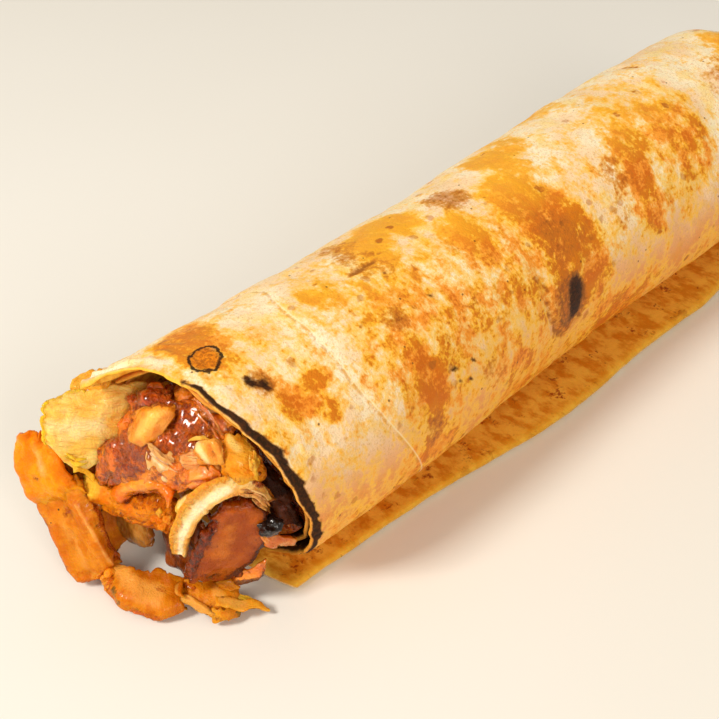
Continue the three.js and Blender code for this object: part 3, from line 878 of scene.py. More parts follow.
# Straight directions in space along the fibres, beside them and through the slice
def grainAxes(middle, angle):
    down = np.gradient(middle, axis=0).reshape(-1, 3).mean(0)
    down /= np.linalg.norm(down)
    across = np.gradient(middle, axis=1).reshape(-1, 3).mean(0)
    across -= down * (across @ down)
    across /= np.linalg.norm(across)
    turn = math.radians(angle)
    along = down * math.cos(turn) + across * math.sin(turn)
    beside = across * math.cos(turn) - down * math.sin(turn)
    return np.array([along, beside, np.cross(along, beside)])


# Reads each vertex's own line of points across the slice
def acrossRows(lines, where):
    count = lines.shape[2]
    ends = [2 * lines[:, :, :1] - lines[:, :, 1:2], lines, 2 * lines[:, :, -1:] - lines[:, :, -2:-1]]
    padded = np.concatenate(ends, 2)
    step = np.clip(where, -0.1, 1.1) * (count - 1)
    k = np.clip(np.floor(step).astype(int), 0, count - 2)
    weights = hermite(step - k)
    total = 0
    for shift, weight in enumerate(weights):
        picked = np.take_along_axis(padded, (k + shift)[..., None, None], 2)[:, :, 0]
        total = total + picked * weight[..., None]
    return total


def normalsOf(grid):
    down = np.gradient(grid, axis=0)
    across = np.gradient(grid, axis=1)
    normal = np.cross(down, across)
    return normal / np.maximum(np.linalg.norm(normal, axis=-1), 1e-9)[..., None]


def buildSlice(name, node, shape, look):
    return makeMeat(name, sliceGrid(shape), look, [node] if node else [])


orangeMeat = dict(relief=0.9, pale="#f79808", mid="#ee8002", deep="#cc5e00", bark="#bc5202",
                  barkDark="#5a2606")
foldMeat = dict(pale="#dc8614", mid="#ce6e08", deep="#9c4402", light="#eeaa58", relief=0.9, sauce="#c65c0a",
                sauceDark="#a84206")
frontMeat = dict(pale="#d8800e", mid="#c46604", deep="#8e3e02", light="#e89c40", relief=0.8, fibre=0.12,
                 rim=0.3, bark="#b85202", barkDark="#582a06")
breastMeat = dict(pale="#ffd274", mid="#ffc456", deep="#fb9e28", light="#ffe2a0", bark="#e89428",
                  barkDark="#b05c14")
crumblyMeat = dict(pale="#ee8a12", mid="#e07202", deep="#b84c00", light="#fcb830", bark="#c86006",
                   barkDark="#843404")
glazedMeat = dict(pale="#b85602", mid="#a24400", deep="#702a00", light="#e88a20", bark="#4a1a06",
                  barkDark="#180a06")
whiteMeat = dict(pale="#ffcd8e", mid="#f9b068", deep="#ec8a34", light="#ffe4c0", sauce="#ec7010",
                 sauceDark="#c04a06")
saucyMeat = dict(pale="#fa8e18", mid="#ee7408", deep="#c44c02", light="#ffb648", sauce="#ce5609",
                 sauceDark="#903406", shine=0.55, roughness=0.16, fibre=0.12, coat=0.25)
# Meat darkened as painted shade, for pieces deep in the mouth's shadow
shadedMeat = dict(pale="#a04a08", mid="#702e04", deep="#341202", light="#d07a20", bark="#341403",
                barkDark="#120804")

buildSlice("frontLeft", "front_slice_left", dict(
    spine=[[-21, 10, 4], [-21, 6, 4.5], [-20, 2, 4.5], [-17, -2, 4], [-14, -6, 4]],
    across=[[3, 2, 0.5], [0, 0, 0], [-2.5, -2, -0.5], [-3.5, -3, -3]], widths=[0.5, 1, 1, 1.1, 0.8],
    thickness=2, seed=3, lumps=0.35, fibre=0, grit=0.12, ragged=0.8, torn=1.2, rounded=0, cell=0.36,
    thin=0.8,
    strokes=[("raise", 0.9, 1.5, [(0.22, 0.84), (0.5, 0.84), (0.75, 0.8), (0.95, 0.7)]),
             ("raise", -0.5, 0.7, [(0.2, 0.58), (0.5, 0.62), (0.72, 0.6), (0.85, 0.5)]),
             ("raise", 0.4, 0.8, [(0.12, 0.1), (0.4, 0.06)]),
             ("light", 1.0, 2.2, [(0.2, 0.15), (0.35, 0.35), (0.55, 0.45), (0.7, 0.5)]),
             ("bark", 0.8, 0.9, [(0.2, 0.7), (0.28, 0.8)]), ("bark", 0.5, 0.7, [(0.52, 0.86), (0.62, 0.94)]),
             ("sauce", 0.75, 1.4, [(0.03, 0.4), (0.12, 0.65)]),
             ("sauce", 0.6, 0.8, [(0.45, 0.95), (0.75, 0.9)]),
             ("sauce", 0.4, 0.7, [(0.72, 0.34), (0.84, 0.46)])],
), dict(frontMeat, bark="#a8720e", barkDark="#5c4a10", sauce="#dc6408", sauceDark="#c05008", herbs=0.06,
        fibre=0.04))
buildSlice("frontFold", None, dict(
    spine=[[-14, -3, 5], [-16, -5, 5], [-16, -7, 5]], across=[[0, 0, 0], [0.5, -2, 1]],
    thickness=0.9, seed=67, ragged=0.6, torn=0.6, lumps=0.3, rounded=0,
    strokes=[("light", 0.7, 0.6, [(0.2, 0.4), (0.7, 0.4)]), ("sauce", 0.6, 0.4, [(0.1, 0.0), (0.9, 0.0)])],
), frontMeat)
buildSlice("frontRight", "front_slice_right", dict(
    spine=[[-14, -5, 4], [-12, -9, 4], [-10, -12, 4], [-7, -15, 3]],
    across=[[2, 2, 1], [0, 0, 0], [-2, -2, -2]], widths=[0.7, 1, 1.2, 0.7],
    thickness=1.6, seed=4, ragged=0.9, torn=1.8, lumps=0.5, fibre=0.05, rounded=0, cell=0.36,
    strokes=[("sauce", 0.8, 0.8, [(0.08, 0.3), (0.2, 0.4)]),
             ("sauce", 0.5, 0.9, [(0.3, 0.2), (0.5, 0.6), (0.5, 0.9)]),
             ("raise", -0.6, 0.6, [(0.3, 0.2), (0.45, 0.55), (0.5, 0.9)]),
             ("light", 0.7, 1.4, [(0.6, 0.3), (0.7, 0.6)])],
), dict(frontMeat, pale="#e8921c", mid="#da7c0a", sauce="#d8640a", sauceDark="#b04806", herbs=0.06,
        fibre=0.06))
buildSlice("frontTip", None, dict(
    spine=[[-11, -12, 5], [-8, -15, 4], [-5, -18, 3], [-4, -20, 1]],
    across=[[0, 0, 0], [-2, -2, -1]], widths=[0.8, 1, 0.7, 0.2],
    thickness=1.2, seed=61, ragged=0.7, lumps=0.4, rounded=0, torn=1.2, edgeRound=0.3,
    strokes=[("light", 0.9, 0.9, [(0.1, 0.4), (0.45, 0.5)]),
             ("sauce", 0.5, 0.5, [(0.05, 0.1), (0.3, 0.05)])],
), dict(frontMeat, mid="#ee8e12", pale="#fbaa2c", deep="#cc6c08"))
buildSlice("frontPetal", None, dict(
    spine=[[-15, -7, 5], [-14, -11, 5], [-13, -15, 3]], across=[[0, 0, 0], [-1, 0, -2.5]],
    widths=[0.8, 1, 0.5],
    thickness=1.2, seed=62, ragged=0.8, lumps=0.35, torn=0.8, edgeRound=0.3, rounded=0,
    strokes=[("light", 1.0, 1.3, [(0.1, 0.5), (0.6, 0.5)]), ("bark", 0.4, 0.5, [(0.0, 0.95), (0.5, 0.95)])],
), dict(frontMeat, mid="#ee9420", pale="#f9ac48", bark="#c06c10", barkDark="#8c4c0c"))
buildSlice("frontCorner", None, dict(
    spine=[[-13, -13, 4], [-12, -15, 4.5], [-9, -17, 3]], across=[[0, 0, 0], [-1, -1, -3]],
    widths=[1, 1, 0.5],
    thickness=1.3, seed=69, ragged=0.8, lumps=0.5, torn=1.2, edgeRound=0.3, rounded=0, bark=dict(end=0.8),
    strokes=[("bark", 0.6, 0.7, [(0.3, 0.6), (0.45, 0.7)])],
), dict(frontMeat, mid="#dc8410", pale="#ee9c1c", bark="#80641c", barkDark="#33300e", herbs=0.2))
buildSlice("frontCrumb", None, dict(
    spine=[[-9, -10, 6], [-9, -11, 5.5], [-8, -13, 4]], across=[[0, 0, 0], [3, -1.5, 0]],
    widths=[0.7, 1.2, 0.9],
    thickness=2.2, seed=63, ragged=1.2, lumps=0.8, lumpSize=2, torn=1.6,
), dict(frontMeat, mid="#e28a14", deep="#a85a08"))
buildSlice("hangingSlice", "hanging_slice", dict(
    spine=[[-20, 21, 24], [-21, 16, 18], [-21, 13, 12], [-21, 11, 7], [-20, 10, 4]],
    across=[[15, 0, -8], [-3, 9, -6], [-1.5, 4, -3], [0, 0, 0], [3, -1, -2]],
    acrossEnd=[[8, 6, -2], [-5, 4, -3], [-2.5, 1.5, -2], [0, 0, 0], [3, 1, -1]], widths=[0.9, 1, 1, 1, 0.8],
    thickness=2, seed=5, lumps=0.45, thin=0.75, rounded=0.05, bark=dict(end=0.8),
    # A painted highlight along the fold's raised ridge
    strokes=[("light", 0.7, 0.6, [(0.2, 0.72), (0.4, 0.74), (0.6, 0.76), (0.85, 0.78)]),
             ("raise", 0.6, 0.7, [(0.2, 0.72), (0.4, 0.74), (0.6, 0.76), (0.85, 0.78)]),
             # Sauce on the inner fold, darkened there as painted shade too
             ("sauce", 1.0, 2.0, [(0.12, 0.9), (0.5, 0.92), (0.8, 0.92)]),
             ("sauce", 0.45, 0.8, [(0.22, 0.5), (0.2, 0.68)]),
             ("bark", 1.1, 1.3, [(0.15, 0.27), (0.35, 0.27), (0.6, 0.26), (0.9, 0.27)]),
             ("light", 0.4, 2.0, [(0.3, 0.45), (0.8, 0.5)])],
), dict(foldMeat, fibre=0.15))
buildSlice("curledSlice", "curled_slice", dict(
    spine=[[-22, 27, 34], [-23, 27, 30], [-24, 25, 26], [-24, 23, 22], [-23, 21, 19]],
    across=[[15, -8, 2], [-1, 3, -3], [0, 0, 0], [3, -3, -1]],
    acrossEnd=[[16, -1, 6], [-1, 5, -4], [0, 0, 0], [4, -5, 3]], widths=[0.7, 1, 1, 1, 1],
    thickness=2, seed=6, fibre=0.1, lumps=0.35, thin=0.7, rounded=0.05, wedge=dict(end=5),
    strokes=[("bark", 1.2, 1.4, [(0.08, 0.37), (0.4, 0.35), (0.7, 0.35), (1.0, 0.37)]),
             ("light", 0.4, 2.0, [(0.2, 0.7), (0.5, 0.72)])],
), dict(orangeMeat, fibre=0.12, herbs=0.05))
buildSlice("yellowShredA", None, dict(
    spine=[[-20, 21, 30], [-19, 19, 29], [-16, 18, 29]], across=[[0, 0, 0], [0, -0.7, -1.4]],
    thickness=1.2, seed=64, ragged=0.5, lumps=0.4, torn=0.8,
), dict(breastMeat, pale="#ffd23c", mid="#fbb81c"))
buildSlice("yellowShredB", None, dict(
    spine=[[-20, 19, 28], [-18, 18, 27], [-17, 16, 25]], across=[[0, 0, 0], [-0.5, -0.4, -1.4]],
    thickness=1.2, seed=65, ragged=0.5, lumps=0.4, torn=0.8,
), dict(breastMeat, pale="#ffcf40", mid="#fab022"))
buildSlice("ledgeSlice", "ledge_slice", dict(
    spine=[[-18, 20, 21], [-16, 12, 21], [-13, 4, 22], [-10, -2, 21]],
    across=[[3, 2, 1], [0, 0, 0], [-1, -0.5, -3.5]],
    acrossEnd=[[2, 1.5, 2.5], [0, 0, 0], [-1, 0, -5]], widths=[0.6, 1, 1, 0.7],
    thickness=2.2, seed=7, grit=0.25, lumps=0.8, lumpSize=2.2, ragged=0.7, torn=1.0, rounded=0, thin=0.8,
    bark=dict(right=0.9),
    strokes=[("light", 1.0, 1.8, [(0.05, 0.4), (0.16, 0.5)]), ("sauce", 0.6, 2.0, [(0.3, 0.1), (0.6, 0.2)]),
             ("raise", 0.6, 0.9, [(0.25, 0.85), (0.9, 0.85)]),
             ("bark", 0.7, 1.4, [(0.45, 0.45), (0.9, 0.4)])],
), crumblyMeat)
buildSlice("ledgeLip", None, dict(
    spine=[[-17.5, 19, 21], [-16, 12, 20], [-14, 4, 20], [-11.5, -2, 21]],
    across=[[0, 0, 0], [0, 0, -3.5]], acrossEnd=[[0, 0, 0], [0.5, 0, -4.5]], widths=[0.7, 1, 1, 0.8],
    thickness=2.2, cell=0.3, seed=74, lumps=0.9, lumpSize=1.9, grit=0.5, ragged=0.9, torn=1.8, rounded=0,
    edgeRound=0.9,
    strokes=[("bark", 0.8, 1.4, [(0.35, 0.8), (0.95, 0.8)]), ("sauce", 0.5, 1.2, [(0.0, 0.5), (0.3, 0.6)])],
), dict(crumblyMeat, rim=0.2))
buildSlice("orangeBand", "orange_band", dict(
    spine=[[-17, 12, 21], [-15, 7, 26], [-13, 2, 29], [-12, -3, 28]],
    across=[[0.5, 2.5, -0.5], [0, 0, 0], [0.5, -0.5, -2]],
    acrossEnd=[[2, 1, 0], [0, 0, 0], [-0.5, 0.5, -3]],
    thickness=1.3, seed=8, fibre=0.08, lumps=0.35, ragged=0.35, torn=0.5, edgeRound=0.35, rounded=0,
    strokes=[("sauce", 0.6, 1.0, [(0.1, 0.95), (0.5, 0.95), (0.9, 0.95)]),
             ("light", 0.5, 1.0, [(0.2, 0.5), (0.6, 0.45)])],
), dict(pale="#fa9018", mid="#f07404", deep="#ce5202", light="#ffa63c", fibre=0.3, coat=0.5))
buildSlice("paleStrip", "pale_strip", dict(
    spine=[[-14, -4, 14], [-14, -5, 21], [-12, -7, 28], [-10, -10, 33], [-6, -13, 35], [-3, -15, 35],
           [-1, -16, 32]],
    across=[[0, 1, -0.5], [0, 0, 0], [0.5, -2, 1], [1, -4, 1]],
    acrossEnd=[[-1, 2, 0], [0, 0, 0], [1, -2, -2], [1, -3, -4]], widths=[0.7, 0.9, 1, 1.1, 1, 1, 0.8],
    thickness=1.3, cell=0.36, seed=9, fibre=0.14, lumps=0.2, ragged=0.5, torn=1.0, thin=0.95,
    edgeRound=0.25, edgeBend=0.3, rounded=0,
    strokes=[("light", 1.0, 1.0, [(0.02, 0.7), (0.3, 0.7), (0.5, 0.68), (0.6, 0.66)]),
             ("raise", -0.6, 0.5, [(0.08, 0.38), (0.35, 0.36), (0.6, 0.36)]),
             ("raise", 0.5, 0.8, [(0.05, 0.62), (0.6, 0.58)]),
             ("raise", -0.3, 0.3, [(0.1, 0.8), (0.5, 0.78)]),
             ("raise", 0.3, 0.4, [(0.02, 0.94), (0.6, 0.92)]),
             ("bark", 1.2, 1.9, [(0.0, 0.06), (0.3, 0.1), (0.66, 0.08)]),
             ("bark", 0.7, 0.5, [(0.12, 0.4), (0.6, 0.38)]),
             ("sauce", 0.8, 1.8, [(0.82, 0.6), (1.0, 0.7)]),
             ("sauce", 0.5, 0.8, [(0.6, 0.96), (0.75, 0.96)])],
), dict(pale="#f9ca82", mid="#f4b25c", deep="#e8902e", light="#ffe6ba", bark="#f39c20", barkDark="#e68416",
        herbs=0.0))
buildSlice("glazedSlice", "glazed_slice", dict(
    spine=[[-5, -14, 29], [-6, -14, 24], [-8, -13, 18], [-11, -10, 8]],
    across=[[-5, 4, 1], [0, 0, 0], [7, -5, 0]], widths=[0.4, 0.8, 1, 0.8],
    thickness=2.6, seed=10, fibre=0.03, grit=0.08, lumps=0.35, ragged=0.7, bark=dict(right=0.7), lumpSize=5,
    strokes=[("bark", 1.1, 1.0, [(0.4, 0.06), (0.52, 0.1)]),
             ("bark", 1.1, 1.3, [(0.98, 0.8), (0.8, 0.99), (0.55, 1.0)]),
             ("raise", 0.8, 0.9, [(0.42, 0.08), (0.5, 0.12), (0.62, 0.08)]),
             ("raise", 0.6, 0.9, [(0.8, 0.06), (0.92, 0.05)]),
             ("light", 0.45, 2.4, [(0.35, 0.5), (0.7, 0.45)]),
             ("sauce", 1.3, 1.3, [(0.3, 0.05), (0.6, 0.07), (0.95, 0.05)]),
             ("sauce", 0.5, 1.2, [(0.9, 0.2), (0.93, 0.5)])],
), dict(glazedMeat, fibre=0.05, herbs=0.03, roughness=0.22, shine=0.2, coat=0.1, sauce="#8c3004",
        sauceDark="#3c1004"))
buildSlice("rightSlice", "right_slice", dict(
    spine=[[-1, -10, 42], [-3, -13, 39], [-4, -15, 36], [-4, -15, 33]],
    across=[[-2, 3, 0], [0, 0, 0], [4, -2, -1]], widths=[0.5, 1, 1.1, 0.6],
    thickness=1.3, seed=11, lumps=0.35, fibre=0.08, ragged=0.7, torn=1.4, grainAngle=60, rounded=0,
    edgeRound=0.35, bark=dict(right=0.6),
    strokes=[("light", 0.9, 1.0, [(0.08, 0.3), (0.2, 0.5)]), ("sauce", 0.5, 1.4, [(0.5, 0.1), (0.8, 0.3)])],
), dict(pale="#fba82c", mid="#f48c10", deep="#d46a04", light="#ffcc6c"))
buildSlice("topFlap", "top_flap_slice", dict(
    spine=[[-5, 6, 43], [-8, 6, 42], [-11, 6, 38], [-11, 7, 35]],
    across=[[-1, 4.5, -2], [0, 0, 0], [3, -3, 0]], widths=[0.7, 1.1, 0.9, 0.5],
    thickness=1.4, seed=12, lumps=0.55, lumpSize=2.6, grit=0.3, fibre=0.08, ragged=0.8, torn=1.0, rounded=0,
    cell=0.34,
    strokes=[("sauce", 0.9, 1.2, [(0.02, 0.2), (0.1, 0.7)]),
             ("sauce", 0.55, 0.9, [(0.9, 0.2), (0.95, 0.8)]), ("sauce", 0.5, 0.8, [(0.3, 0.0), (0.7, 0.0)]),
             ("light", 0.8, 1.4, [(0.35, 0.6), (0.6, 0.4)])],
), dict(saucyMeat, pale="#f6a02a", mid="#ee8614", deep="#d25e08", light="#ffc656", shine=0.4))
buildSlice("breastSlice", "breast_slice", dict(
    spine=[[-22, 25, 38], [-18, 21, 36], [-13, 18, 36], [-7, 16, 36], [1, 14, 35]],
    across=[[4, 1, 6], [0, 0, 0], [-1, -2, -9]], widths=[0.6, 1.1, 1, 0.9, 0.6],
    thickness=2.2, seed=13, fibre=0.2, lumps=0.25, ragged=0.8, torn=1.2, grainAngle=12, rounded=0.03,
    strokes=[("light", 0.7, 2.2, [(0.1, 0.5), (0.5, 0.5)]), ("bark", 1.0, 1.4, [(0.0, 0.0), (0.0, 1.0)]),
             ("bark", 0.7, 0.8, [(0.0, 0.0), (0.3, 0.0)]), ("sauce", 0.5, 0.7, [(0.2, 0.85)]),
             ("sauce", 0.6, 1.6, [(0.85, 0.2), (0.85, 0.8)])],
), dict(breastMeat, rim=0.1, bark="#ffc818", barkDark="#fab410", sauce="#e0700c", sauceDark="#b04a06",
        fibre=0.35, herbs=0.01))
buildSlice("smallStrip", "small_strip", dict(
    spine=[[-3, -18, 22], [0, -20, 20], [4, -21, 18]], across=[[0, 0, 0], [0, -0.5, -3]],
    thickness=1.8, seed=14, lumps=0.35, ragged=1.0, torn=1.8,
), dict(saucyMeat, mid="#e87c14", pale="#f8a440"))
buildSlice("hollowSlice", "hollow_slice", dict(
    spine=[[-12, 11, 16], [-12, 11, 8], [-11, 12, 3]], across=[[0, 6, 0], [0, 0, 0], [0, -6, 1]],
    acrossEnd=[[-1, 5, 1], [0, 0, 0], [0, -5, 4]],
    thickness=2.4, seed=15, lumps=0.5, bark=dict(end=1.5),
), dict(shadedMeat, pale="#d09040", mid="#b06c1c", deep="#6a3006", coat=0.5))
buildSlice("standingSlice", "standing_slice", dict(
    spine=[[-8, 5, 14], [-9, 5, 8], [-9, 5, 2]], across=[[0, 0, 0], [-1, -9, 1]],
    thickness=3, seed=16, lumps=0.5,
), dict(shadedMeat, coat=0.6))
# Near-black strips as painted shade in the deep gap on the right of the mouth
buildSlice("rightShreds", "right_shreds", dict(
    spine=[[0, -12, 34], [1, -15, 29], [2, -16, 24], [3, -17, 19]], across=[[0, 0, 0], [4, -3, -1]],
    thickness=3.2, seed=17, lumps=0.8, ragged=1.2, fibre=0.3,
), dict(shadedMeat, pale="#5c2606", mid="#341203", deep="#120602"))

# Flakes and thin slices in the middle that have no solid of their own
buildSlice("whiteFlake", None, dict(
    spine=[[-10, 4, 36], [-11, 1, 35], [-11, -1, 31]],
    across=[[-1, 3, -2], [0, 0, 0], [2, -2, 0]], widths=[0.6, 1.1, 0.9],
    thickness=1.1, cell=0.3, seed=51, lumps=0.5, lumpSize=2.2, grit=0.2, fibre=0.2, ragged=0.9, torn=1.8,
    grainAngle=10, rounded=0,
    strokes=[("light", 0.8, 0.9, [(0.3, 0.3), (0.6, 0.5)]), ("sauce", 0.8, 0.9, [(0.1, 0.95), (0.9, 0.95)]),
             ("sauce", 0.7, 0.8, [(0.98, 0.1), (0.98, 0.9)]), ("sauce", 0.6, 0.6, [(0.0, 0.1), (0.0, 0.9)]),
             ("raise", -0.8, 0.5, [(0.2, 0.6), (0.7, 0.75)])],
), whiteMeat)
buildSlice("pinkFlake", None, dict(
    spine=[[-8, -4, 38], [-8, -5, 37], [-8, -6, 34]], across=[[-1, 4, -3], [0, 0, 0], [2, -2, 1]],
    thickness=1.2, cell=0.3, rounded=0, seed=52, lumps=0.6, lumpSize=2.6, grit=0.15, fibre=0.35, ragged=0.7,
    torn=1.0, grainAngle=80,
    strokes=[("sauce", 0.75, 1.2, [(0.1, 0.2), (0.5, 0.1)]), ("sauce", 0.7, 1.0, [(0.9, 0.2), (0.9, 0.9)])],
), dict(whiteMeat, pale="#fcc07c", mid="#f49a52", deep="#dd6a24"))
buildSlice("yellowRoll", None, dict(
    spine=[[-6, -6, 41], [-7, -8, 40], [-7, -9, 37]],
    across=[[0, 3, -3], [0, 0, 0], [1, -2, 1], [2, -3, 0]],
    thickness=1.8, cell=0.3, seed=53, lumps=0.5, lumpSize=2.6, grit=0.15, ragged=0.6, torn=0.8,
    strokes=[("light", 1.0, 0.8, [(0.15, 0.3), (0.8, 0.35)]),
             ("raise", -0.8, 0.5, [(0.3, 0.55), (0.9, 0.6)]),
             ("bark", 1.0, 0.8, [(0.4, 0.98), (0.9, 0.95)])],
), dict(pale="#fbb850", mid="#f4983a", deep="#de6c14", light="#ffdc98"))
buildSlice("orangeFlake", None, dict(
    spine=[[-8, -7, 36], [-8, -8, 34], [-9, -7, 31]],
    across=[[-1, 4, -3], [0, 0, 0], [2, -3, 1]], widths=[0.8, 1, 1.1],
    thickness=1.8, cell=0.35, seed=54, lumps=0.6, lumpSize=3, grit=0.12, ragged=0.8, torn=1.2,
    strokes=[("raise", 0.9, 1.0, [(0.3, 0.3), (0.4, 0.6)]), ("raise", -0.7, 0.6, [(0.6, 0.1), (0.6, 0.9)]),
             ("light", 0.6, 1.0, [(0.3, 0.5)])],
), dict(saucyMeat, pale="#ff9a24", mid="#f97e0c", deep="#d85604", coat=0.5))
buildSlice("saucySlice", None, dict(
    spine=[[-1, 2, 43], [-3, 2, 42], [-6, 1, 39], [-8, 1, 36]],
    across=[[-1.5, 4, -2], [0, 0, 0], [2, -4, -1], [2, -8, -2]],
    acrossEnd=[[-1, 5, -2], [0, 0, 0], [2, -4, 1], [4, -8, 1]],
    thickness=1.8, seed=55, lumps=0.6, lumpSize=3.4, grit=0.35, ragged=0.9, torn=1.8, sauced=0.45,
    grainAngle=70,
    strokes=[("raise", -1.4, 1.5, [(0.2, 0.15), (0.5, 0.12)]),
             ("bark", 0.9, 2.4, [(0.12, 0.2), (0.45, 0.25)]),
             # Thin pale streaks along raised lines: painted highlights on the wet sauce
             ("light", 0.8, 0.5, [(0.1, 0.6), (0.45, 0.95)]), ("light", 0.7, 0.4, [(0.3, 0.65), (0.6, 0.9)]),
             ("raise", 0.5, 0.6, [(0.1, 0.6), (0.45, 0.95)]),
             ("raise", -0.5, 0.5, [(0.2, 0.62), (0.5, 0.9)]),
             ("sauce", 0.7, 2.6, [(0.6, 0.3), (0.8, 0.6)])],
), dict(saucyMeat, bark="#b85208", barkDark="#8a3206"))
buildSlice("leftSaucySlice", None, dict(
    spine=[[-12, 14, 34], [-14, 13, 32], [-15, 13, 28], [-15, 13, 24]],
    across=[[-1.5, 3.5, -2.5], [0, 0, 0], [2, -3.5, 1], [4, -7, 1.5]], widths=[0.8, 1, 1, 1],
    thickness=1.8, seed=56, lumps=0.6, lumpSize=3.0, grit=0.35, ragged=0.9, torn=1.8, sauced=0.65,
    strokes=[("sauce", 0.7, 2.2, [(0.1, 0.5), (0.4, 0.6)]), ("bark", 0.9, 1.6, [(0.7, 0.7), (0.85, 0.85)]),
             ("light", 0.6, 0.8, [(0.75, 0.02), (0.95, 0.05)]),
             ("raise", 0.8, 1.6, [(0.2, 0.3), (0.5, 0.4)])],
), dict(saucyMeat, bark="#c05a0c", barkDark="#8c3408"))
buildSlice("sauceSheet", None, dict(
    spine=[[-2.5, 5.5, 42.5], [-3, 4, 41.5], [-5, 4, 38.5], [-8, 2, 37], [-10, 2, 34], [-13, 3, 27]],
    across=[[-5, 9, -1], [-2.5, 4.5, 0], [0, 0, 0], [2, -7, 0], [4, -13, -1]],
    acrossEnd=[[-4, 13, -5], [-2, 6, -2], [0, 0, 0], [3, -6, 2], [6, -12, 4]],
    thickness=2.4, seed=73, cell=0.36, lumps=0.8, lumpSize=4.2, grit=0.3, fibre=0.1, ragged=0.9, torn=1.6,
    rounded=0.03, sauced=0.35,
    strokes=[("sauce", 1.0, 3.2, [(0.4, 0.62), (0.48, 0.72), (0.58, 0.55)]),
             ("sauce", 1.0, 3.4, [(0.62, 0.2), (0.8, 0.15)]),
             ("sauce", 1.0, 2.6, [(0.02, 0.2), (0.05, 0.42)]),
             # The dark-brown bark strokes: browned sauce, partly painted shade in its folds
             ("bark", 0.9, 2.0, [(0.14, 0.52), (0.3, 0.5), (0.42, 0.44)]),
             ("bark", 0.8, 1.4, [(0.84, 0.2), (0.9, 0.3)]), ("light", 0.8, 0.7, [(0.2, 0.78), (0.4, 0.95)]),
             ("light", 0.8, 1.4, [(0.75, 0.0), (0.9, 0.03)]),
             ("bark", 0.8, 0.8, [(0.2, 0.98), (0.26, 0.96)])],
), dict(saucyMeat, bark="#9c440a", barkDark="#6a2404", herbs=0.06))
buildSlice("topSaucySlice", None, dict(
    spine=[[-4, 11, 43], [-6, 9, 43], [-6, 8, 41]], across=[[-1, 3, -2], [0, 0, 0], [3, -3, 0]],
    thickness=1.6, seed=57, lumps=0.7, lumpSize=2.4, ragged=1.0, sauced=0.75,
    strokes=[("bark", 0.9, 0.8, [(0.3, 0.2), (0.4, 0.3)]), ("bark", 1.0, 0.6, [(0.5, 0.5), (0.6, 0.6)])],
), dict(saucyMeat, mid="#c04a08", deep="#7a2204", bark="#3a1408", barkDark="#1a0c08", herbs=0.15, coat=0.3))
buildSlice("stripBack", None, dict(
    spine=[[-12, -4, 25], [-11, -6, 28], [-9, -9, 31], [-7, -11, 33]],
    across=[[0.5, 2.5, -0.5], [0, 0, 0], [0.5, -1, -0.5]], widths=[0.6, 1, 1.1, 0.9],
    thickness=1.6, seed=58, lumps=0.5, fibre=0.25, ragged=1.0, torn=1.4,
    strokes=[("light", 0.6, 1.0, [(0.2, 0.4), (0.7, 0.4)]), ("sauce", 0.5, 1.0, [(0.1, 0.1), (0.6, 0.1)])],
), dict(breastMeat, pale="#ffce58", mid="#fbb232", deep="#ee8c18"))
# Two dark sheets that fill gaps with painted shade
buildSlice("stripShade", None, dict(
    spine=[[-11, -7, 25], [-11, -7, 18], [-11, -6, 11]], across=[[-1, 3, 0], [0, 0, 0], [0.5, -3, 0]],
    thickness=1.4, seed=76, lumps=0.5, ragged=0.8, torn=1.2,
), dict(shadedMeat, coat=0.3))
buildSlice("breastShade", None, dict(
    spine=[[-20, 22, 27], [-16, 20, 26], [-11, 17, 26]], across=[[0, 0, 4], [0, 0, 0], [0, 0, -5]],
    thickness=1.4, seed=77, lumps=0.5, ragged=0.8, torn=1.2,
), dict(shadedMeat, pale="#b4600c", mid="#8c420a", coat=0.2))
buildSlice("breastBack", None, dict(
    spine=[[-14, 24, 42.5], [-11, 22, 43], [-8, 19, 43]], across=[[-1, -1, -2], [0, 0, 0], [1, 1.5, 1.5]],
    widths=[0.5, 1, 1],
    thickness=1.2, seed=78, lumps=0.4, ragged=0.6, torn=1.0,
), dict(breastMeat, pale="#ffc44c", mid="#faac30", deep="#ee8c18"))
buildSlice("rightBits", None, dict(
    spine=[[-2, -14, 32], [-1, -15, 29], [0, -17, 27]], across=[[0, 0, 0], [1.3, -1.3, 0.7]],
    thickness=1.8, seed=59, lumps=1.0, lumpSize=1.8, ragged=1.0, torn=1.6,
), dict(shadedMeat, pale="#c8741c", mid="#9c4e0c"))
buildSlice("rightBitsHigh", None, dict(
    spine=[[-3.5, -13, 33], [-3.5, -14, 31]], across=[[0, 0, 0], [1.2, -1.2, 0.5]],
    thickness=1.8, seed=60, lumps=1.0, lumpSize=1.8, ragged=0.8, torn=1.4,
), dict(saucyMeat, mid="#d4700f", deep="#843804"))


ballCache = {}


def ball(subdivisions):
    if subdivisions not in ballCache:
        bpy.ops.mesh.primitive_ico_sphere_add(subdivisions=subdivisions, radius=1)
        made = bpy.context.active_object
        points = np.array([v.co for v in made.data.vertices], float)
        faces = np.array([p.vertices for p in made.data.polygons])
        bpy.data.objects.remove(made)
        ballCache[subdivisions] = points, faces
    return ballCache[subdivisions]


lumpShape = dict(turn=0, detail=5, folds=1.0, knobs=0.35, pimples=0.1, foldSize=4.2, knobSize=1.9,
                 pimpleSize=0.7, sauced=0, light=0, seed=1)


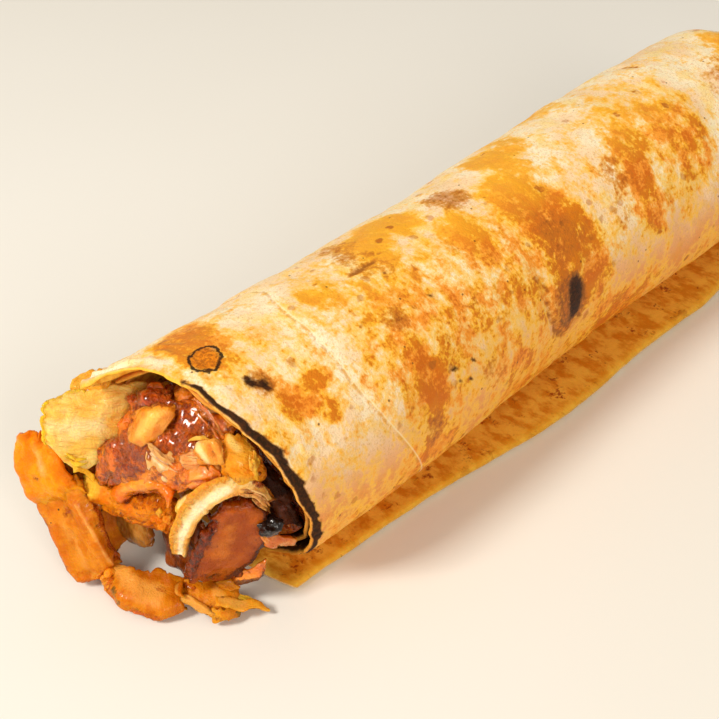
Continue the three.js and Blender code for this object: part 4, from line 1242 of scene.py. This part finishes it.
def lumpMesh(shape):
    shape = {**lumpShape, **shape}
    unit, faces = ball(shape["detail"])
    radii = np.array(shape["radii"], float)
    knob = 1 + 0.12 * np.sin(4 * unit[:, 0] + 3 * unit[:, 2]) * np.cos(5 * unit[:, 1])
    body = unit * radii * knob[:, None]
    seed = shape["seed"]
    spot = body + seed * 13.7
    height = shape["folds"] * rough(spot, shape["foldSize"], seed, 2)
    height += shape["knobs"] * rough(spot, shape["knobSize"], seed + 3, 3)
    height += shape["pimples"] * rough(spot, shape["pimpleSize"], seed + 6, 2)
    body = body + unit * height[:, None]
    turn = math.radians(shape["turn"])
    turned = body.copy()
    turned[:, 1] = body[:, 1] * math.cos(turn) - body[:, 2] * math.sin(turn)
    turned[:, 2] = body[:, 1] * math.sin(turn) + body[:, 2] * math.cos(turn)
    sauceMask = shape["sauced"] + 0 * height
    # Lighter towards the tops of the bumps, a painted highlight; the relief's height darkens the dips as
    # painted shade
    looks = np.stack([0 * height, sauceMask, shape["light"] + height * 0.4], -1)
    grain = spot @ np.array([[0.5, 0.8, 0.3], [0.8, -0.5, 0.2], [0.3, 0.2, -0.9]])
    relief = np.stack([3 + 0 * height, 0.7 * height, 0 * height], -1)
    marks = {"grain": grain, "look": looks, "relief": relief}
    return dict(points=turned + shape["centre"], faces=faces, marks=marks)


def joinMeshes(parts):
    points, faces = [], []
    start = 0
    for part in parts:
        points.append(part["points"])
        faces.append(np.asarray(part["faces"]) + start)
        start += len(part["points"])
    marks = {
        label: np.concatenate([part["marks"][label] for part in parts])
        for label in ("grain", "look", "relief")
    }
    return dict(points=np.concatenate(points), faces=np.concatenate(faces), marks=marks)


# Pulled fibres: thin tapering strands that follow a path
strandShape = dict(count=12, spread=1.2, width=(0.5, 1.1), thickness=(0.35, 0.7), share=(0.45, 1.0), seed=1,
                   sauced=0.1)
strandFacing = (0.57, 0.53, -0.63)  # the strands' flat sides face along this, more or less
strandTaper = (0.3, 0.9, 1, 0.8, 0.15)  # width along a strand


def buildStrands(name, path, shape, look):
    shape = {**strandShape, **shape}
    random = np.random.default_rng(shape["seed"])
    path = np.array(path, float)
    parts = []
    for k in range(shape["count"]):
        share = random.uniform(*shape["share"])
        start = random.uniform(0, 1 - share)
        spots = curveAt(path, start + share * np.linspace(0, 1, len(strandTaper)))
        spots += random.normal(0, shape["spread"] / 2, 3) + random.normal(0, 0.12, spots.shape)
        heading = spots[-1] - spots[0]
        side = np.cross(heading, random.normal(0, 0.6, 3) + strandFacing)
        side *= random.uniform(*shape["width"]) / 2 / np.linalg.norm(side)
        half = side * np.array(strandTaper)[:, None]
        rows = np.stack([spots - half, spots + half], 1)
        parts.append(sliceGrid(dict(
            rows=rows, thickness=random.uniform(*shape["thickness"]), cell=0.28,
            seed=300 + shape["seed"] * 20 + k,
            ragged=0.15, torn=0.2, lumps=0.12, fibre=0.08, grit=0.06, edgeRound=0.25, edgeBend=0.2,
            rounded=0,
            sauced=shape["sauced"] * random.uniform(0, 2))))
    return makeMeat(name, joinMeshes(parts), look, [])


buildStrands("whiteStrands", [[-11, 5, 36], [-11, 1, 35], [-9, -3, 33]],
             dict(count=5, spread=1.2, seed=2),
             dict(whiteMeat, herbs=0))
buildStrands("pinkStrands", [[-9, -1, 36], [-8, -5, 38], [-6, -9, 37]],
             dict(count=4, spread=1.2, seed=3, sauced=0.3),
             dict(whiteMeat, pale="#fcc484", mid="#f5a058", herbs=0))
buildStrands("rollStrands", [[-7, -3, 40], [-6, -6, 42], [-5, -9, 42]],
             dict(count=3, spread=1.0, seed=4),
             dict(breastMeat, pale="#ffd060", mid="#fbb236", herbs=0))
buildStrands("stripEndStrands", [[-6, -16, 34], [-3, -18, 32], [-1, -19, 28]],
             dict(count=7, spread=1.2, seed=5, sauced=0.3),
             dict(whiteMeat, pale="#fcc88c", mid="#f4a25c", herbs=0))
buildStrands("rightEdgeStrands", [[0, -14, 40], [-1, -16, 37], [-1, -17, 34]],
             dict(count=6, spread=1.0, seed=6, share=(0.3, 0.6)),
             dict(breastMeat, pale="#fdbc4c", mid="#f49c22", herbs=0))
buildStrands("leftStrands", [[-21, 21, 31], [-19, 19, 29], [-16, 18, 28]],
             dict(count=8, spread=1.0, seed=7),
             dict(breastMeat, pale="#ffd83c", mid="#fcc01c", herbs=0))
buildStrands("saucyStrands", [[-1, 0, 44], [-1, -4, 43], [-2, -8, 42]],
             dict(count=8, spread=1.6, seed=8, sauced=0.3),
             dict(saucyMeat, coat=0.8))
buildStrands("tipStrands", [[-10, -9, 3], [-7, -14, 3], [-4, -20, 1]],
             dict(count=5, spread=0.7, seed=9),
             dict(frontMeat, pale="#ffca3c", mid="#f8ae1c"))


buildSlice("glazedFlake", None, dict(
    spine=[[-6, -12, 7], [-5, -16, 9], [-2, -18, 11]], across=[[-0.5, 0.5, -2], [0, 0, 0], [0.5, 0, 2]],
    thickness=1.8, seed=66, ragged=0.8, lumps=0.7, lumpSize=2.4, grit=0.25, torn=1.2,
    strokes=[("bark", 1.2, 1.5, [(0.3, 0.05), (0.9, 0.2)])],
), dict(saucyMeat, bark="#3a1c0a", barkDark="#140b08"))

# Crumbs scattered along a line
crumbShape = dict(count=24, size=(0.5, 1.2), spread=0.5, seed=1)


def buildCrumbs(name, path, shape, look):
    shape = {**crumbShape, **shape}
    random = np.random.default_rng(shape["seed"])
    path = np.array(path, float)
    parts = []
    for k in range(shape["count"]):
        spot = curveAt(path, np.array([random.uniform(0, 1)]))[0] + random.normal(0, shape["spread"], 3)
        radii = random.uniform(*shape["size"]) * random.uniform(0.7, 1.3, 3)
        parts.append(lumpMesh(dict(
            centre=spot, radii=radii, detail=3, folds=0.45, knobs=0.5, pimples=0.2, foldSize=1.2,
            turn=random.uniform(0, 180), seed=700 + shape["seed"] * 50 + k, light=random.uniform(0, 0.5))))
    return makeMeat(name, joinMeshes(parts), look, [])


buildCrumbs("ledgeNodules", [[-13, 1, 20], [-12, 0, 21], [-11, -2, 21]], dict(
    count=5, size=(0.7, 1.2), spread=0.8, seed=2), dict(crumblyMeat, pale="#ffa430"))
buildCrumbs("frontCrumbs", [[-21, 10, 4], [-23, 8, 3], [-24, 5, 3]], dict(
    count=16, size=(0.6, 1.1), spread=0.5, seed=3),
    dict(frontMeat, pale="#f88c1c", mid="#ea7410", deep="#b84e06"))


# The saucy bed that fills the mouth behind the slices, and small flakes scattered over it
bed = sliceGrid(dict(
    spine=[[0, 12, 40], [-5, 8, 36], [-8, 4, 32], [-8, 0, 27]],
    across=[[-9, 7, -9], [-4, 4, -3], [0, 0, 0], [4, -6, 1], [5, -13, 1]],
    acrossEnd=[[-5, 12, -9], [-2, 6, -4], [0, 0, 0], [3, -7, 5], [8, -12, 6]],
    thickness=4, cell=0.5, seed=71, lumps=2.2, lumpSize=3.4, grit=0.3, ragged=1.5, torn=2, sauced=0.45,
    thin=0.9,
))
makeMeat("saucyBed", bed, dict(saucyMeat, coat=0.8), [], "bedMeat")
flakes = dict(
    count=24, length=(4, 8), width=(2.4, 5), thickness=(0.9, 1.6), lift=(-0.2, 1.0), tilt=0.35, bend=1.2,
    shares=(0.4, 0.4, 0.2),  # of the orange, the saucy and the pale ones
)


def buildFlakes():
    random = np.random.default_rng(72)
    front, normal = bed["front"], bed["normal"]
    groups = {"flakesOrange": [], "flakesSaucy": [], "flakesPale": []}
    for k in range(flakes["count"]):
        i = random.integers(4, front.shape[0] - 4)
        j = random.integers(4, front.shape[1] - 4)
        out = normal[i, j] * (1 if normal[i, j, 0] < 0 else -1)
        middle = front[i, j] + out * random.uniform(*flakes["lift"])
        facing = out + random.normal(0, flakes["tilt"], 3)
        along = np.cross(facing, random.normal(0, 1, 3))
        along /= np.linalg.norm(along)
        side = np.cross(facing, along)
        side /= np.linalg.norm(side)
        length = random.uniform(*flakes["length"]) / 2
        width = random.uniform(*flakes["width"]) / 2
        bend = random.uniform(-flakes["bend"], flakes["bend"])
        rows = []
        for share in (-1, -0.3, 0.4, 1):
            spot = middle + along * length * share - out * (bend * share * share)
            half = side * width * (1 - 0.45 * share * share)
            rows.append([spot - half, spot + 0.3 * out, spot + half])
        part = sliceGrid(dict(
            rows=rows, thickness=random.uniform(*flakes["thickness"]), cell=0.36, seed=500 + k, ragged=0.6,
            torn=1.0,
            lumps=0.6, lumpSize=2.2, grit=0.2, fibre=0.2, sauced=random.uniform(0, 0.6)))
        groups[random.choice(list(groups), p=flakes["shares"])].append(part)
    looks = {
        "flakesOrange": dict(saucyMeat, pale="#ffa838", mid="#f98a16"),
        "flakesSaucy": dict(saucyMeat, coat=0.8),
        "flakesPale": whiteMeat,
    }
    for name, parts in groups.items():
        makeMeat(name, joinMeshes(parts), looks[name], [])


buildFlakes()
print("slices laid")


def buildLump(name, node, shape, look):
    return makeMeat(name, lumpMesh(shape), look, [node])


buildLump("saucedLeft", "sauced_chunk_left", dict(
    centre=[-9, 12, 27.5], radii=[4.2, 4.8, 4.6], turn=20, seed=21, sauced=0.6), dict(saucyMeat, coat=0.35))
buildLump("saucedUpper", "sauced_chunk_upper", dict(
    centre=[1, 4.5, 34.5], radii=[5, 6.6, 5], turn=10, seed=22, sauced=0.7), dict(saucyMeat, coat=0.45))
buildLump("paleChunk", "pale_chunk", dict(
    centre=[-6.5, 2, 30.5], radii=[3.6, 5, 3], turn=-20, seed=23, light=0.2), whiteMeat)
buildLump("rolledChunk", "rolled_chunk", dict(
    centre=[-2.5, -6.5, 35], radii=[4.4, 3.8, 4.2], turn=15, seed=24),
    dict(whiteMeat, pale="#fcb45c", mid="#f0903c"))
buildLump("charBit", "char_bit", dict(
    centre=[-1.2, -19, 23], radii=[2.8, 2.2, 1.7], seed=25, folds=0.5, knobs=0.5, foldSize=2), dict(
    pale="#1c110e", mid="#160d0b", deep="#0a0706", light="#241614", coat=0.8, roughness=0.3, glow=0.0,
    coatRoughness=0.08, relief=0.9))
print("chunks placed")


# The angle a point of a square takes when the square is rounded into a disc
def squareAngle(across, up):
    wide = np.abs(across) >= np.abs(up)
    safeAcross = np.where(across == 0, 1, across)
    safeUp = np.where(up == 0, 1, up)
    sideways = (up / safeAcross) * (np.pi / 4) + np.where(across > 0, 0, np.pi)
    upright = np.pi / 2 - (across / safeUp) * (np.pi / 4) + np.where(up > 0, 0, np.pi)
    return np.where((across == 0) & (up == 0), 0, np.where(wide, sideways, upright))


core = dict(
    cellsAcross=56, cellsAlong=60, front=7, back=9, clearance=0.8, lumps=1.3, lumpSize=5, noiseReach=20,
    sauced=0.6,
)


# One lumpy mass inside the second lap, short of the far end
def buildCore():
    side = np.linspace(-1, 1, core["cellsAcross"] + 1)
    across, up = np.meshgrid(side, side, indexing="ij")
    share = np.maximum(np.abs(across), np.abs(up))
    angle = squareAngle(across, up)
    turns = 1 + (np.degrees(angle) + 90) / 360 % 1
    inset = -(roll["layer"] / 2 + core["clearance"])
    start, end = core["front"], roll["length"] - core["back"]
    caps = []
    for x in (start, end):
        spot = np.stack([across * core["noiseReach"], up * core["noiseReach"], 0 * up + x], -1)
        edge = rollPoint(turns, x + 0 * up, inset)
        height = axisHeight(x)
        relief = core["lumps"] * rough(spot, core["lumpSize"], 61, 4) * smooth(1, 0.9, share)
        y = edge[..., 1] * share
        z = height + (edge[..., 2] - height) * share
        caps.append(np.stack([x + relief, y, z], -1))
    front, back = caps
    rows, columns = front.shape[:2]
    border = [(0, k) for k in range(columns)] + [(k, columns - 1) for k in range(1, rows)]
    border += [(rows - 1, k) for k in range(columns - 2, -1, -1)]
    border += [(k, 0) for k in range(rows - 2, 0, -1)]
    borderRows, borderColumns = np.array(border).T
    borderTurns = turns[borderRows, borderColumns]
    rings = []
    for x in np.linspace(start, end, core["cellsAlong"] + 1)[1:-1]:
        rings.append(rollPoint(borderTurns, x + 0 * borderTurns, inset))
    rings = np.array(rings)
    count = rows * columns
    frontIndex = np.arange(count).reshape(rows, columns)
    backIndex = frontIndex + count
    ringIndex = 2 * count + np.arange(rings.shape[0] * rings.shape[1]).reshape(rings.shape[:2])
    frontLoop, backLoop = frontIndex[borderRows, borderColumns], backIndex[borderRows, borderColumns]
    loops = np.concatenate([frontLoop[None], ringIndex, backLoop[None]])
    closed = np.concatenate([loops, loops[:, :1]], 1)
    faces = np.concatenate([quads(frontIndex)[:, ::-1], quads(backIndex), quads(closed)])
    points = np.concatenate([front.reshape(-1, 3), back.reshape(-1, 3), rings.reshape(-1, 3)])
    looks = np.zeros_like(points)
    looks[:, 1] = core["sauced"]
    reliefs = np.zeros_like(points)
    reliefs[:, 0] = 3
    marks = {"grain": points, "look": looks, "relief": reliefs}
    made = dict(points=points, faces=faces, marks=marks)
    look = dict(pale="#c06a1a", mid="#a84f0c", deep="#6a2404", coat=0.5, relief=0.9)
    return makeMeat("fillingMass", made, look, ["filling_core"], "massMeat")


buildCore()


# Torn strips between the slices and the mass behind them
shreds = dict(
    count=70, length=(5, 12), width=(1.2, 3.2), thickness=(0.8, 1.6), fromX=-3, toX=8,
    lean=0.4, bend=2, facing=(1, 0.2, 0.1),
    height=26.5, reach=19.5, limit=20.5,  # the middle they spread from, how far, and where they end
    outerFrom=15, outerBack=2,  # those near the bread stand further back
    hollowBelow=12, hollowFromY=-6, hollowBack=6,  # and those in the hollow under the ledge too
)


def buildShreds():
    random = np.random.default_rng(31)
    parts = []
    for k in range(shreds["count"]):
        angle = random.uniform(0, 2 * np.pi)
        reach = shreds["reach"] * math.sqrt(random.uniform(0.02, 1))
        depth = random.uniform(shreds["fromX"], shreds["toX"])
        depth += 0 if reach < shreds["outerFrom"] else shreds["outerBack"]
        middle = np.array([depth, reach * math.cos(angle), shreds["height"] + reach * math.sin(angle)])
        if middle[2] < shreds["hollowBelow"] and middle[1] > shreds["hollowFromY"]:
            middle[0] += shreds["hollowBack"]
        heading = random.uniform(0, np.pi)
        lean = random.uniform(-shreds["lean"], shreds["lean"])
        along = np.array([lean, math.cos(heading), math.sin(heading)])
        side = np.cross(along, shreds["facing"])
        side /= np.linalg.norm(side)
        length = random.uniform(*shreds["length"]) / 2
        width = random.uniform(*shreds["width"]) / 2
        bend = random.uniform(-shreds["bend"], shreds["bend"], 3)
        rows = []
        for share in (-1, -0.33, 0.33, 1):
            spot = middle + along * length * share + bend * (share * share - 0.4)
            twist = side * width * (1 - 0.5 * abs(share))
            rows.append([spot - twist, spot + twist])
        rows = limitToMouth(np.array(rows))
        parts.append(sliceGrid(dict(
            rows=rows, thickness=random.uniform(*shreds["thickness"]), cell=0.55, seed=100 + k, ragged=0.3,
            torn=0.3, lumps=0.25, fibre=0.12, sauced=random.uniform(0.0, 0.75))))
    look = dict(pale="#e89a35", mid="#d97a18", deep="#a84808", coat=0.5)
    makeMeat("tornShreds", joinMeshes(parts), look, [], "shredMeat")


# Keeps points inside the bread's inner lap
def limitToMouth(rows):
    middle = np.array([0, 0, axisHeight(0)])
    offset = rows - middle
    reach = np.hypot(offset[..., 1], offset[..., 2])
    factor = np.minimum(1, shreds["limit"] / np.maximum(reach, 1e-6))
    offset[..., 1] *= factor
    offset[..., 2] *= factor
    return middle + offset


buildShreds()

# Slices showing at the far end
farFill = dict(
    count=26, length=16, width=(6, 13), thickness=(1.8, 3.2), bend=2.5, tip=(-5, 1.5), wander=0.7,
    clearance=1.2,  # left to the bread
)


def buildFarSlices():
    random = np.random.default_rng(41)
    parts = []
    end = roll["length"] - 1
    radius = centreRadius * roll["taperKeep"] - 2 * roll["lapPitch"] + 1
    for k in range(farFill["count"]):
        turn = random.uniform(0, np.pi)
        middle = random.uniform(-0.75, 0.75, 2) * radius
        middle *= min(1, 0.72 * radius / np.linalg.norm(middle))
        width = random.uniform(*farFill["width"]) / 2
        direction = np.array([math.cos(turn), math.sin(turn)])
        bend = np.array([-direction[1], direction[0]]) * random.uniform(-farFill["bend"], farFill["bend"])
        tip = end + random.uniform(*farFill["tip"])
        rows = []
        for x in (tip - farFill["length"], tip - farFill["length"] / 2, tip):
            row = []
            for share in (-1, 0, 1):
                yz = middle + direction * width * share + bend * (share * share - 0.3)
                yz *= min(1, (radius - farFill["clearance"]) / np.linalg.norm(yz))
                wander = random.uniform(-farFill["wander"], farFill["wander"])
                row.append([x + wander, yz[0], axisHeight(roll["length"]) + yz[1]])
            rows.append(row)
        parts.append(sliceGrid(dict(
            rows=rows, thickness=random.uniform(*farFill["thickness"]), cell=0.7, seed=200 + k, ragged=0.6,
            lumps=0.4, bark=dict(left=0.8), sauced=random.uniform(0, 0.6))))
    makeMeat("farSlices", joinMeshes(parts), {}, [], "farMeat")


buildFarSlices()
print("filling packed")


# Camera, floor and surroundings
stage = dict(
    cameraPlace=(-0.2415, -0.1655, 0.2243), cameraTurn=(51, 0, -47.1), lens=70, sensorWidth=36,
    floorSize=3, floorPlace=-0.0002, floorPale="#f2f0ea", floorDeep="#eeebe3",
    aim=(0, 0, 0.02),  # what the lamps point at
    worldTint="#fff7ea", worldStrength=0.4,
)
lamps = dict(
    window=dict(place=(-1.05, 0.3, 1.0), size=0.34, power=16.8, tint="#fff9f0"),
    fill=dict(place=(-0.45, -0.85, 0.6), size=0.4, power=4.0, tint="#fff6ea"),
)


def buildStage():
    camera = bpy.data.cameras.new("camera")
    camera.lens = stage["lens"]
    camera.sensor_width = stage["sensorWidth"]
    view = bpy.data.objects.new("camera", camera)
    view.location = stage["cameraPlace"]
    view.rotation_euler = [math.radians(a) for a in stage["cameraTurn"]]
    bpy.context.scene.collection.objects.link(view)
    bpy.context.scene.camera = view
    bpy.context.scene.view_settings.view_transform = "Standard"

    mesh = bpy.data.meshes.new("floor")
    size = stage["floorSize"]
    corners = [(-size, -size, 0), (size, -size, 0), (size, size, 0), (-size, size, 0)]
    mesh.from_pydata(corners, [], [(0, 1, 2, 3)])
    floor = bpy.data.objects.new("floor", mesh)
    floor.location.z = stage["floorPlace"]
    bpy.context.scene.collection.objects.link(floor)
    finish = Finish("paleFloor", {"Roughness": 0.45})
    place = finish.node("TexCoord", {}, {}, "Object")
    cloud = finish.noise(place, 0.4, 3)
    tint = finish.mix(cloud.between(0.3, 0.7), colour(stage["floorPale"]), colour(stage["floorDeep"]))
    mesh.materials.append(finish.wear(tint=tint))

    for name, look in lamps.items():
        addLamp(name, **look)

    world = bpy.data.worlds.new("studio")
    world.use_nodes = True
    background = world.node_tree.nodes["Background"]
    background.inputs["Color"].default_value = colour(stage["worldTint"])
    background.inputs["Strength"].default_value = stage["worldStrength"]
    bpy.context.scene.world = world


def addLamp(name, place, size, power, tint):
    lamp = bpy.data.lights.new(name, "AREA")
    lamp.size = size
    lamp.energy = power
    lamp.color = colour(tint)[:3]
    made = bpy.data.objects.new(name, lamp)
    made.location = place
    aim = np.array(stage["aim"]) - np.array(place)
    made.rotation_euler = (
        math.atan2(math.hypot(aim[0], aim[1]), -aim[2]), 0, math.atan2(aim[1], aim[0]) - math.pi / 2,
    )
    bpy.context.scene.collection.objects.link(made)


buildStage()
print("stage set")
